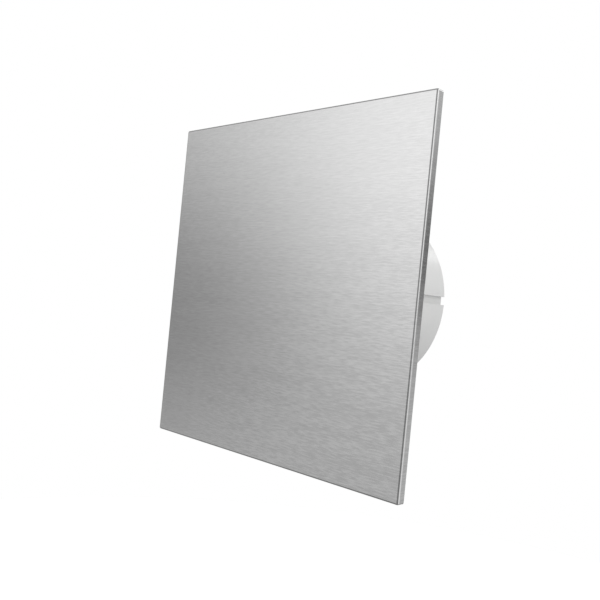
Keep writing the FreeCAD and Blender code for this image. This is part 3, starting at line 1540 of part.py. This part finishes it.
def make_spring(name, level, side):
    """A closing spring round the hinge pin beyond the last knuckle, its leg on a flap's back."""
    size = SIZES
    wire = size["spring_wire"]
    coil_radius = size["hinge_pin_radius"] + size["spring_gap"] + wire / 2
    helix = Part.makeHelix(size["spring_pitch"], size["spring_pitch"] * size["spring_turns"],
                           coil_radius)
    circle = Part.Circle(Vector(coil_radius, 0, 0), Vector(0, 1, 0), wire / 2)
    coil = Part.Wire(helix.Edges).makePipeShell([Part.Wire([circle.toShape()])], True, True)
    coil.rotate(Vector(), Vector(0, 0, 1), 90)
    bore = size["spigot_diameter"] / 2 - size["spigot_wall"]
    flap_radius = bore - size["damper_wall"] - size["flap_gap"]
    flap_back = size["seat_thickness"] + size["flap_seat_gap"] + size["flap_thickness"]
    drop = flap_back + 0.5 * wire - size["hinge_depth"]
    start, end = Vector(0, coil_radius, 0), Vector(size["spring_leg"], drop, 0)
    leg = Part.makeCylinder(wire / 2, (end - start).Length, start, end - start)
    whole = coil.fuse([leg, Part.makeSphere(wire / 2, start)])
    whole = whole.mirror(Vector(), Vector(1, 0, 0)) if side < 0 else whole
    whole = whole.mirror(Vector(), Vector(0, 0, 1)) if level < 0 else whole
    spring = doc.addObject("Part::Feature", name)
    spring.Shape = whole
    reach = flap_radius * KNUCKLE_EDGES[0] + wire
    bind(spring, Placement__Base__y=HINGE_Y)
    spring.Placement.Base.z = level * reach
    return label(spring, name)


# ---------------------------------------------------------------- Assembly

make_list = [
    make_face_sheet, make_backing_board, make_tape_pads, make_carrier,
    make_cover, make_grille, make_cover_screws, make_tray, make_spigot,
    make_terminal_block, make_terminal_tubes, make_terminal_screws,
    make_cable_clamp, make_clamp_screws, make_grommet,
    make_stator, make_shading_rings, make_bobbin, make_winding, make_coil_pins,
    make_thermal_fuse, make_shaft, make_rotor_core, make_end_rings, make_spacers,
    make_motor_screws, make_washers, make_impeller, make_impeller_nut,
    make_damper_ring, make_hinge_pin,
]
nodes = [make() for make in make_list]
for end_name, end_side in (("front", -1), ("rear", 1)):
    nodes.append(make_bridge(f"{end_name}_bearing_bridge", end_side))
    nodes.append(make_race(f"{end_name}_bearing_outer_ring", end_side,
                           "ball_pitch_radius + race_gap", "bearing_radius"))
    nodes.append(make_race(f"{end_name}_bearing_inner_ring", end_side,
                           "shaft_radius", "ball_pitch_radius - race_gap"))
    nodes.append(make_balls(f"{end_name}_bearing_balls", end_side))
nodes.append(make_lead("motor_lead_live", 1))
nodes.append(make_lead("motor_lead_neutral", -1))
nodes.append(make_flap("damper_flap_left", -1))
nodes.append(make_flap("damper_flap_right", 1))
nodes.append(make_spring("damper_spring_upper", 1, -1))
nodes.append(make_spring("damper_spring_lower", -1, 1))
doc.recompute()

for thing in doc.Objects:
    if any(word in ("Invalid", "Error") for word in thing.State):
        raise ValueError(f"{thing.Label} failed: {thing.State}")
for node in nodes:
    if node.Shape.isNull() or not node.Shape.isValid() or not node.Shape.Solids:
        raise ValueError(f"{node.Label} has no valid solid")

os.makedirs("parts", exist_ok=True)
for node in nodes:
    node.Shape.exportStep(f"parts/{node.Label}.step")
    box = node.Shape.BoundBox
    print(f"{node.Label:28s} solids {len(node.Shape.Solids)} volume {node.Shape.Volume:10.1f}"
          f" y {box.YMin:6.1f} to {box.YMax:6.1f}")
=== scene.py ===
import json
import math

import bmesh
import bpy
from mathutils import Matrix, Vector


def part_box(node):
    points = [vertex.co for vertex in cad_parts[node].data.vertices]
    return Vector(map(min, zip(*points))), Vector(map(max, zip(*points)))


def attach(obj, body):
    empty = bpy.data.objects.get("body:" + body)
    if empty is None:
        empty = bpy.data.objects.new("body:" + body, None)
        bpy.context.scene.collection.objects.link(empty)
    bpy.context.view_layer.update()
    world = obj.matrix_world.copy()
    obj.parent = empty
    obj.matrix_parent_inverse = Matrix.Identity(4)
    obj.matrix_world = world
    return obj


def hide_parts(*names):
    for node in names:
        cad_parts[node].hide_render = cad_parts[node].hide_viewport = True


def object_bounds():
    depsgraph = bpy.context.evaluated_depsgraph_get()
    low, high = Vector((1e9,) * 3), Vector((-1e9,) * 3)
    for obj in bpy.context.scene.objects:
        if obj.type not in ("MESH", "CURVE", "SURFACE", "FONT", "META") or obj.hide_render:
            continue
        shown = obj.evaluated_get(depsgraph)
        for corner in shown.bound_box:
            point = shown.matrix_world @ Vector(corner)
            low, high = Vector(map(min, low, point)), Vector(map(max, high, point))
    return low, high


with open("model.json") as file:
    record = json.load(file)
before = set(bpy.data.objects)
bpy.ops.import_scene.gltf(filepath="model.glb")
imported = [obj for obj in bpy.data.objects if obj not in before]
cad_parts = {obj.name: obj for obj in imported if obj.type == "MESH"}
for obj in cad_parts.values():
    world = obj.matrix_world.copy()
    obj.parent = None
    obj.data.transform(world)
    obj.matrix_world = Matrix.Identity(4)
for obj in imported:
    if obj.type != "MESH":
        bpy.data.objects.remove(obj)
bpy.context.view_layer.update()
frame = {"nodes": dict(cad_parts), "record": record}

# A bathroom extractor fan with a flush brushed steel panel. Everything is in metres, in the
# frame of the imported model: the room is on the -Y side, the duct on the +Y side, Z is up.

MM = 0.001
BANDS_AT_SCALE_ONE = 10 / math.pi


# ------------------------------------------------------------------ trees of nodes


class Value:
    """A number, colour or shape in a node tree. Sums written with it grow their own nodes."""

    def __init__(self, tree, socket):
        self.tree, self.socket = tree, socket

    def math(self, operation, *others):
        inputs = {i: other for i, other in enumerate((self, *others))}
        return self.tree.add("ShaderNodeMath", {"operation": operation}, inputs)

    def __add__(self, other):
        return self.math("ADD", other)

    def __sub__(self, other):
        return self.math("SUBTRACT", other)

    def __rsub__(self, other):
        return (self * -1) + other

    def __mul__(self, other):
        return self.math("MULTIPLY", other)

    def __truediv__(self, other):
        return self.math("DIVIDE", other)

    __radd__ = __add__
    __rmul__ = __mul__


class Tree:
    """A tree of nodes: a material's, the world's or a shape's."""

    def __init__(self, tree):
        self.tree = tree

    def add(self, kind, settings=None, inputs=None, output=0):
        """Any node: its settings first, then the values or links of its sockets."""
        node = self.tree.nodes.new(kind)
        for name, setting in (settings or {}).items():
            setattr(node, name, setting)
        for name, value in (inputs or {}).items():
            if isinstance(value, Value):
                self.tree.links.new(value.socket, node.inputs[name])
            else:
                node.inputs[name].default_value = value
        return Value(self, node.outputs[output]) if node.outputs else node

    def parts(self, vector):
        """The three numbers of a vector."""
        split = self.add("ShaderNodeSeparateXYZ", {}, {"Vector": vector})
        return [Value(self, socket) for socket in split.socket.node.outputs]


class Shader(Tree):
    """The node tree of one material or of the world."""

    def __init__(self, owner):
        owner.use_nodes = True
        super().__init__(owner.node_tree)
        self.owner = owner
        self.tree.nodes.clear()

    def place(self, stretch=(1, 1, 1)):
        """The point of the surface in the object's own frame, stretched."""
        where = self.add("ShaderNodeTexCoord", output="Object")
        settings = {"vector_type": "POINT"}
        return self.add("ShaderNodeMapping", settings, {"Vector": where, "Scale": stretch})

    def noise(self, stretch, detail=2.0, roughness=0.5):
        """Noise from 0 to 1, with the number of its grains in a metre along each axis."""
        inputs = {
            "Vector": self.place(stretch), "Scale": 1.0,
            "Detail": detail, "Roughness": roughness,
        }
        return self.add("ShaderNodeTexNoise", {"noise_dimensions": "3D"}, inputs)

    def bands(self, axis, count):
        """Waves from 0 to 1 along an axis, with their number in a metre."""
        settings = {"wave_type": "BANDS", "bands_direction": axis, "wave_profile": "SIN"}
        inputs = {"Vector": self.place(), "Scale": count / BANDS_AT_SCALE_ONE}
        return self.add("ShaderNodeTexWave", settings, inputs)

    def steps(self, value, low, high):
        """0 at low and 1 at high, smooth between. Low may be the larger of the two."""
        settings = {"interpolation_type": "SMOOTHSTEP"}
        inputs = {"Value": value, "From Min": low, "From Max": high}
        return self.add("ShaderNodeMapRange", settings, inputs)

    def blend(self, factor, first, second):
        """A colour from the first, at 0, to the second, at 1."""
        inputs = {0: factor, 6: first if isinstance(first, Value) else (*first, 1),
                  7: second if isinstance(second, Value) else (*second, 1)}
        return self.add("ShaderNodeMix", {"data_type": "RGBA"}, inputs, output=2)

    def bump(self, height, distance):
        """A normal from a height of 0 to 1 that stands for a distance in metres."""
        inputs = {"Strength": 1.0, "Distance": distance, "Height": height}
        return self.add("ShaderNodeBump", {}, inputs)

    def surface(self, colour, roughness, **sockets):
        """The Principled surface that the material ends in."""
        inputs = {name.replace("_", " "): value for name, value in sockets.items()}
        inputs["Base Color"] = colour if isinstance(colour, Value) else (*colour, 1)
        inputs["Roughness"] = roughness
        shader = self.add("ShaderNodeBsdfPrincipled", {}, inputs)
        self.add("ShaderNodeOutputMaterial", {}, {"Surface": shader})
        return self.owner


def new_shader(name):
    return Shader(bpy.data.materials.new(name))


# ------------------------------------------------------------------ metals


# Where the painted dark reflection and the painted highlight lie along the panel's fold, measured
# from its edge and its face.
PAINTED_DARK_REFLECTION_LINE = (-0.95 * MM, -0.75 * MM, -0.22 * MM, -0.07 * MM)
PAINTED_HIGHLIGHT_LINE = (-0.20 * MM, -0.07 * MM)
PAINTED_HIGHLIGHT_DEPTH = (1.20 * MM, 0.90 * MM)


def brushed_steel():
    """Stainless sheet with level brushing: short fine scratches over faint wider streaks.

    The streaks show more contrast towards the lower right. Two lines are painted along the
    fold: a painted dark reflection where it starts, then a painted highlight. Both are placed
    from the sheet's edge, and the painted highlight ends at its depth behind the face."""
    front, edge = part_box("panel_face_sheet")[0].y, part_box("panel_face_sheet")[1].x
    s = new_shader("brushed_steel")
    hair = s.noise((260, 260, 3400), 1.0)
    streak = s.noise((150, 150, 1450), 2.0)
    cloud = s.noise((26, 26, 210), 3.0)
    across, depth, up = s.parts(s.place())
    # The streaks' contrast grows towards the lower right; the mean tone stays the same.
    streak_contrast = s.steps(across - up, -0.02, 0.13) * 1.3 + 0.62
    grain = (hair * 0.3 + streak * 0.5 + cloud * 0.2 - 0.5) * streak_contrast + 0.5
    colour = s.blend(s.steps(grain, 0.32, 0.68), (0.555, 0.555, 0.555), (0.665, 0.665, 0.665))
    outward = across.math("ABSOLUTE").math("MAXIMUM", up.math("ABSOLUTE"))
    # Painted dark reflection: a dark line where the fold starts, on all four edges.
    starts, full, fades, ends = (edge + place for place in PAINTED_DARK_REFLECTION_LINE)
    painted_dark_reflection = s.steps(outward, starts, full) * s.steps(outward, ends, fades)
    # Painted highlight: a bright line along the fold that ends at its depth behind the face.
    starts, full = (edge + place for place in PAINTED_HIGHLIGHT_LINE)
    ends, fades = (front + place for place in PAINTED_HIGHLIGHT_DEPTH)
    painted_highlight = s.steps(outward, starts, full) * s.steps(depth, ends, fades)
    # The dark line is painted into the colour, standing in for the fold's dark reflection.
    colour = s.blend(painted_dark_reflection * 0.54, colour, (0.11, 0.11, 0.11))
    # The bright line is painted into the colour as a highlight on the fold.
    colour = s.blend(painted_highlight * 0.85, colour, (0.93, 0.93, 0.93))
    return s.surface(
        colour, grain * 0.14 + 0.13, Metallic=1.0, Anisotropic=0.5, Anisotropic_Rotation=0.25,
        Normal=s.bump(hair * 0.4 + streak * 0.6, 0.012 * MM),
    )


def plain_metal(name, dark, light, rough, grain=(1500, 1500, 1500), depth=0.006):
    """A bare metal with fine machining or drawing marks and faint handling marks."""
    s = new_shader(name)
    marks = s.noise(grain, 2.0)
    smear = s.noise((160, 160, 160), 3.0)
    colour = s.blend(s.steps(marks * 0.5 + smear * 0.5, 0.3, 0.7), dark, light)
    return s.surface(
        colour, smear * 0.14 + marks * 0.08 + (rough - 0.1), Metallic=1.0,
        Normal=s.bump(marks, depth * MM),
    )


def zinc_steel():
    """Bright zinc plate with the faint bloom of its spangle."""
    s = new_shader("zinc_steel")
    inputs = {"Vector": s.place((900, 900, 900)), "Scale": 1.0}
    spangle = s.add("ShaderNodeTexVoronoi", {"feature": "F1"}, inputs)
    smear = s.noise((220, 220, 220), 3.0)
    colour = s.blend(smear * 0.7 + spangle * 0.3, (0.52, 0.55, 0.57), (0.70, 0.71, 0.70))
    return s.surface(
        colour, smear * 0.16 + spangle * 0.06 + 0.18, Metallic=1.0,
        Normal=s.bump(spangle, 0.008 * MM),
    )


def electrical_steel():
    """The edges of stacked silicon steel sheets: one band a sheet, with rust-proof lacquer."""
    s = new_shader("electrical_steel")
    sheets = s.bands("Y", 2000)
    scale = s.noise((260, 900, 260), 3.0)
    colour = s.blend(sheets * 0.5 + scale * 0.5, (0.14, 0.15, 0.17), (0.38, 0.39, 0.42))
    return s.surface(
        colour, scale * 0.2 + 0.3, Metallic=1.0, Coat_Weight=0.25,
        Normal=s.bump(sheets, 0.03 * MM),
    )


# ------------------------------------------------------------------ plastics, rubber and board


def moulded(name, dark, light, rough, texture=2600, depth=0.01, **extra):
    """A moulded plastic: fine spark texture, slow flow marks and a little uneven gloss."""
    s = new_shader(name)
    spark = s.noise((texture,) * 3, 2.0, 0.6)
    flow = s.noise((45, 45, 45), 3.0)
    dust = s.noise((420, 420, 420), 4.0, 0.65)
    colour = s.blend(s.steps(flow * 0.7 + dust * 0.3, 0.3, 0.7), dark, light)
    return s.surface(
        colour, flow * 0.08 + spark * 0.10 + (rough - 0.09),
        Normal=s.bump(spark * 0.8 + dust * 0.2, depth * MM), **extra,
    )


def grey_board():
    """Compressed board: short fibres in a dark grey binder."""
    s = new_shader("grey_board")
    fibre = s.noise((2400, 300, 500), 3.0, 0.6)
    cross = s.noise((500, 300, 2400), 3.0, 0.6)
    mottle = s.noise((120, 120, 120), 3.0)
    weave = fibre.math("MAXIMUM", cross)
    colour = s.blend(s.steps(weave * 0.82 + mottle * 0.18, 0.35, 0.72),
                     (0.14, 0.14, 0.145), (0.25, 0.25, 0.255))
    return s.surface(colour, mottle * 0.1 + 0.62, Normal=s.bump(weave, 0.03 * MM))


def foam(name, dark, light, cells=2300):
    """Closed-cell foam."""
    s = new_shader(name)
    inputs = {"Vector": s.place((cells,) * 3), "Scale": 1.0}
    pores = s.add("ShaderNodeTexVoronoi", {"feature": "DISTANCE_TO_EDGE"}, inputs)
    colour = s.blend(s.steps(pores, 0.02, 0.25), dark, light)
    return s.surface(colour, 0.85, Normal=s.bump(s.steps(pores, 0.0, 0.3), 0.05 * MM))


def coil_tape():
    """Amber tape wound over a coil, each lap a step, with the wires' ridges under it."""
    s = new_shader("coil_tape")
    ridges = s.bands("X", 1600)
    laps = s.noise((420, 60, 60), 2.0)
    colour = s.blend(s.steps(laps, 0.35, 0.65), (0.50, 0.33, 0.05), (0.68, 0.50, 0.11))
    return s.surface(
        colour, laps * 0.15 + 0.28, Coat_Weight=0.3,
        Normal=s.bump(ridges * 0.5 + laps * 0.5, 0.05 * MM),
    )


def enamelled_copper():
    """Copper wire under clear enamel, a little darker where the enamel lies thick."""
    s = new_shader("enamelled_copper")
    thick = s.noise((700, 700, 700), 3.0)
    colour = s.blend(thick, (0.42, 0.13, 0.045), (0.72, 0.30, 0.12))
    return s.surface(colour, thick * 0.12 + 0.2, Metallic=1.0, Coat_Weight=0.5)


MATERIALS = {
    "brushed_steel": brushed_steel(),
    "grey_board": grey_board(),
    "foam_tape": foam("foam_tape", (0.025, 0.025, 0.026), (0.06, 0.06, 0.062)),
    "white_abs": moulded("white_abs", (0.765, 0.77, 0.765), (0.80, 0.80, 0.795), 0.19),
    "white_nylon": moulded("white_nylon", (0.69, 0.68, 0.63), (0.76, 0.75, 0.71), 0.46, 1800),
    "zinc_steel": zinc_steel(),
    "black_rubber": moulded("black_rubber", (0.014, 0.014, 0.014), (0.032, 0.031, 0.030), 0.62,
                            1500, 0.02),
    "brass": plain_metal("brass", (0.50, 0.35, 0.13), (0.72, 0.55, 0.26), 0.30),
    "electrical_steel": electrical_steel(),
    "copper": plain_metal("copper", (0.55, 0.22, 0.12), (0.80, 0.42, 0.28), 0.32),
    "coil_tape": coil_tape(),
    "black_nylon": moulded("black_nylon", (0.018, 0.018, 0.019), (0.04, 0.04, 0.041), 0.42),
    "bearing_steel": plain_metal("bearing_steel", (0.62, 0.62, 0.63), (0.74, 0.74, 0.75), 0.16,
                                 (900, 6000, 900), 0.002),
    "cast_aluminium": plain_metal("cast_aluminium", (0.52, 0.53, 0.54), (0.68, 0.69, 0.70), 0.48,
                                  (2400, 2400, 2400), 0.02),
    "brown_sleeve": moulded("brown_sleeve", (0.10, 0.042, 0.02), (0.15, 0.065, 0.032), 0.38),
    "blue_sleeve": moulded("blue_sleeve", (0.012, 0.06, 0.22), (0.02, 0.09, 0.30), 0.38),
    "impeller_plastic": moulded("impeller_plastic", (0.60, 0.61, 0.62), (0.66, 0.67, 0.675),
                                0.38, 2200),
    "spring_steel": plain_metal("spring_steel", (0.42, 0.42, 0.43), (0.60, 0.60, 0.61), 0.28,
                                (3000, 3000, 3000), 0.004),
    "fuse_case": plain_metal("fuse_case", (0.50, 0.51, 0.52), (0.66, 0.66, 0.67), 0.34),
}

for row in frame["record"]["subparts"]:
    thing = frame["nodes"][row["node"]]
    thing.data.materials.clear()
    thing.data.materials.append(MATERIALS[row["material_slot"]])


# ------------------------------------------------------------------ the wound coil


class Grower(Tree):
    """A geometry tree with a named input for each size, which ends in real, painted mesh."""

    def __init__(self, name, sizes):
        super().__init__(bpy.data.node_groups.new(name, "GeometryNodeTree"))
        self.sizes = sizes
        sockets = self.tree.interface
        sockets.new_socket(name="Geometry", in_out="OUTPUT", socket_type="NodeSocketGeometry")
        sockets.new_socket(name="Geometry", in_out="INPUT", socket_type="NodeSocketGeometry")
        for size, value in sizes.items():
            kind = "NodeSocketInt" if isinstance(value, int) else "NodeSocketFloat"
            sockets.new_socket(name=size, in_out="INPUT", socket_type=kind)
        entry = self.tree.nodes.new("NodeGroupInput")
        self.given = {socket.name: Value(self, socket) for socket in entry.outputs if socket.name}

    def vector(self, x=0.0, y=0.0, z=0.0):
        return self.add("ShaderNodeCombineXYZ", {}, {"X": x, "Y": y, "Z": z})

    def moved(self, shape, **change):
        return self.add("GeometryNodeTransform", {}, {"Geometry": shape, **change})

    def finish(self, shape, material):
        """Real mesh in that material at the tree's way out."""
        real = self.add("GeometryNodeRealizeInstances", {}, {"Geometry": shape})
        painted = self.add("GeometryNodeSetMaterial", {}, {"Geometry": real,
                                                           "Material": material})
        self.add("NodeGroupOutput", {}, {"Geometry": painted})
        self.material = material

    def grow(self, name, **changes):
        """The tree's mesh as an object of its own, with its sizes as changed here."""
        piece = bpy.data.objects.new(name, bpy.data.meshes.new(name))
        bpy.context.collection.objects.link(piece)
        growth = piece.modifiers.new("growth", "NODES")
        growth.node_group = self.tree
        for socket in self.tree.interface.items_tree:
            if socket.in_out == "INPUT" and socket.name in self.sizes:
                growth[socket.identifier] = {**self.sizes, **changes}[socket.name]
        seen = piece.evaluated_get(bpy.context.evaluated_depsgraph_get())
        mesh = bpy.data.meshes.new_from_object(seen)
        mesh.materials.clear()
        mesh.materials.append(self.material)
        mesh.polygons.foreach_set("material_index", [0] * len(mesh.polygons))
        piece.modifiers.clear()
        piece.data = mesh
        mesh.name = name
        return piece


CORNER_STEPS = 6
ROUND_STRAND = 8
FLAT_STRAND = 4


def loop_tree(name, sizes, sides, material):
    """Rounded square loops of a strand, side by side along X.

    Depth, Height and Corner are the loop's along the strand's middle. Rise is the strand's
    thickness off the coil, and Width is its width along the coil."""
    tree = Grower(name, sizes)
    given = tree.given
    outline = tree.add("GeometryNodeCurvePrimitiveQuadrilateral", {"mode": "RECTANGLE"},
                       {"Width": given["Height"], "Height": given["Depth"]})
    rounded = tree.add("GeometryNodeFilletCurve", {"mode": "POLY"},
                       {"Curve": outline, "Count": CORNER_STEPS, "Radius": given["Corner"]})
    level = tree.add("GeometryNodeSetCurveNormal", {"mode": "Z_UP"}, {"Curve": rounded})
    section = tree.add("GeometryNodeCurvePrimitiveCircle", {"mode": "RADIUS"},
                       {"Resolution": sides, "Radius": 0.5})
    section = tree.moved(section, Rotation=(0, 0, math.pi / sides))
    reach = math.cos(math.pi / sides)
    section = tree.moved(section, Scale=tree.vector(given["Rise"] / reach,
                                                    given["Width"] / reach, 1.0))
    loop = tree.add("GeometryNodeCurveToMesh", {}, {"Curve": level, "Profile Curve": section})
    loop = tree.add("GeometryNodeSetShadeSmooth", {}, {"Geometry": loop,
                                                       "Shade Smooth": sides != FLAT_STRAND})
    upright = tree.moved(loop, Rotation=(0, math.pi / 2, 0))
    first = (given["Count"] - 1) * given["Pitch"] * -0.5
    row = tree.add("GeometryNodeMeshLine", {"mode": "OFFSET"}, {
        "Count": given["Count"], "Start Location": tree.vector(first),
        "Offset": tree.vector(given["Pitch"]),
    })
    loops = tree.add("GeometryNodeInstanceOnPoints", {}, {"Points": row, "Instance": upright})
    middle = tree.vector(0.0, given["Middle Y"], given["Middle Z"])
    tree.finish(tree.moved(loops, Translation=middle), material)
    return tree


def settle(piece, slot, body, *nodes):
    """Puts a finished piece on the body it rides on and hides the nodes it stands for. The slot
    is not used.
    """
    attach(piece, body)
    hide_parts(*nodes)


WIRE = 0.62 * MM
TAPE = 0.24 * MM
TAPE_WIDTH = 16.5 * MM
UNDER_LAYERS = 4.2 * MM
END_GAP = 0.1 * MM
WIRE_CORNER, TAPE_CORNER, UNDER_CORNER = 3.0 * MM, 3.4 * MM, 1.4 * MM


def wind_coil():
    """Turns of enamelled wire over the layers below, with a lap of tape over their middle."""
    low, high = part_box("coil_winding")
    size, middle = high - low, (low + high) / 2
    turns = int(size.x / WIRE)

    def loop(inset, rise, width, corner):
        """The sizes of a strand whose outer side is the inset within the CAD winding."""
        return {
            "Rise": rise, "Width": width, "Corner": corner,
            "Depth": size.y - 2 * inset - rise, "Height": size.z - 2 * inset - rise,
        }

    sizes = {
        "Count": turns, "Pitch": size.x / turns, "Middle Y": middle.y, "Middle Z": middle.z,
        **loop(TAPE, WIRE, size.x / turns, WIRE_CORNER),
    }
    under = loop(TAPE + WIRE / 2, UNDER_LAYERS, size.x - END_GAP, UNDER_CORNER)
    wires = loop_tree("coil_loops", sizes, ROUND_STRAND, enamelled_copper())
    bands = loop_tree("coil_bands", {**sizes, "Count": 1}, FLAT_STRAND, MATERIALS["coil_tape"])
    settle(wires.grow("coil_turns"), "copper", "housing", "coil_winding")
    for name, changes in (
        ("coil_tape_band", loop(0, TAPE, TAPE_WIDTH, TAPE_CORNER)), ("coil_under_layers", under),
    ):
        settle(bands.grow(name, **changes), "coil_tape", "housing", "coil_winding")


wind_coil()

# ------------------------------------------------------------------ the studio


def lobe(across, up, centre, width):
    """A soft round patch of light, 1 at its centre; angles in degrees."""
    first = (across - centre[0]) / width[0]
    second = (up - centre[1]) / width[1]
    return (first * first + second * second).math("MULTIPLY", -1.0).math("EXPONENT")


def card(shader, across, up, centre, half, edge):
    """A square-cut soft box or flag, 1 inside it and 0 outside; angles in degrees."""
    wide = (across - centre[0]).math("ABSOLUTE")
    tall = (up - centre[1]).math("ABSOLUTE")
    inside = shader.steps(wide, half[0] + edge, half[0] - edge)
    return inside * shader.steps(tall, half[1] + edge, half[1] - edge)


# What stands round the object. Each row: its middle and its size in degrees, first to the
# right of the room's middle and then above the horizon, and how much light it adds.
BASE_LIGHT = 0.55
LEAST_LIGHT = 0.06
LOBES = [
    ((-34.5, 14), (20, 18), 0.87),
    ((-54, 1.2), (12.5, 10), -0.39),
    ((-41, -9), (10, 8), -0.02),
    ((-56, -20), (20, 9), 0.15),
    ((0, 90), (400, 45), 0.35),
    ((0, -90), (400, 55), -0.27),
    ((95, -38), (34, 28), 0.52),
    ((137, 5.2), (40, 6.2), -0.62),
    ((137, 5), (34, 24), 0.16),
]
# Soft boxes and flags: half their size, and last how soft their straight edges are.
CARDS = [
    ((66, 30), (38, 31), 0.72, 4),
    ((-3, 4), (19, 36), -0.14, 5),
    ((158, 43.5), (17, 13), 1.6, 1.5),
]


def build_world():
    """A white room to look at, and soft boxes and dark flags for what it lights."""
    world = bpy.data.worlds.new("studio")
    bpy.context.scene.world = world
    s = Shader(world)
    where = s.add("ShaderNodeTexCoord", output="Generated")
    x, y, z = s.parts(where)
    degrees = 180 / math.pi
    across = x.math("ARCTAN2", y * -1) * degrees
    up = z.math("ARCSINE") * degrees
    light = BASE_LIGHT
    for centre, width, strength in LOBES:
        light = light + lobe(across, up, centre, width) * strength
    for centre, half, strength, edge in CARDS:
        light = light + card(s, across, up, centre, half, edge) * strength
    light = light.math("MAXIMUM", LEAST_LIGHT)
    seen = s.add("ShaderNodeLightPath", output="Is Camera Ray")
    strength = seen * (1 - light) + light
    white = s.add("ShaderNodeBackground", {}, {"Color": (1, 1, 1, 1), "Strength": strength})
    s.add("ShaderNodeOutputWorld", {}, {"Surface": white})


FLOOR_DROP = 0.26
FLOOR_RADIUS = 0.85
FLOOR_SIDES = 96


def build_floor():
    """A plain pale floor well below the fan."""
    mesh = bpy.data.meshes.new("floor")
    form = bmesh.new()
    bmesh.ops.create_circle(form, cap_ends=True, segments=FLOOR_SIDES, radius=FLOOR_RADIUS)
    form.to_mesh(mesh)
    form.free()
    floor = bpy.data.objects.new("floor", mesh)
    bpy.context.collection.objects.link(floor)
    floor.location.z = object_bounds()[0].z - FLOOR_DROP
    s = new_shader("pale_floor")
    mesh.materials.append(s.surface((0.82, 0.82, 0.82), 0.7, Emission_Strength=0.85,
                                    Emission_Color=(1, 1, 1, 1)))
    floor.visible_diffuse = floor.visible_glossy = False


build_floor()
build_world()
bpy.context.scene.view_settings.view_transform = "Standard"


CAMERA_PLACE = (0.27446, -0.28233, -0.00995)
CAMERA_TURN, CAMERA_ROLL = 44.95, 5.57
SENSOR, LENS, RISE = 36.0, 43.6, 0.0142
NEAREST = 0.01


def build_camera():
    """The camera stands to the right of the panel, level with its middle."""
    turn, roll = math.radians(CAMERA_TURN), math.radians(CAMERA_ROLL)
    ahead = Vector((-math.sin(turn), math.cos(turn), 0))
    level = Vector((math.cos(turn), math.sin(turn), 0))
    right = level * math.cos(roll) + Vector((0, 0, math.sin(roll)))
    up = right.cross(ahead)
    data = bpy.data.cameras.new("camera")
    data.sensor_width, data.lens, data.shift_y = SENSOR, LENS, RISE
    data.clip_start = NEAREST
    camera = bpy.data.objects.new("camera", data)
    bpy.context.collection.objects.link(camera)
    turned = Matrix((right, up, -ahead)).transposed().to_4x4()
    camera.matrix_world = Matrix.Translation(CAMERA_PLACE) @ turned
    bpy.context.scene.camera = camera


build_camera()
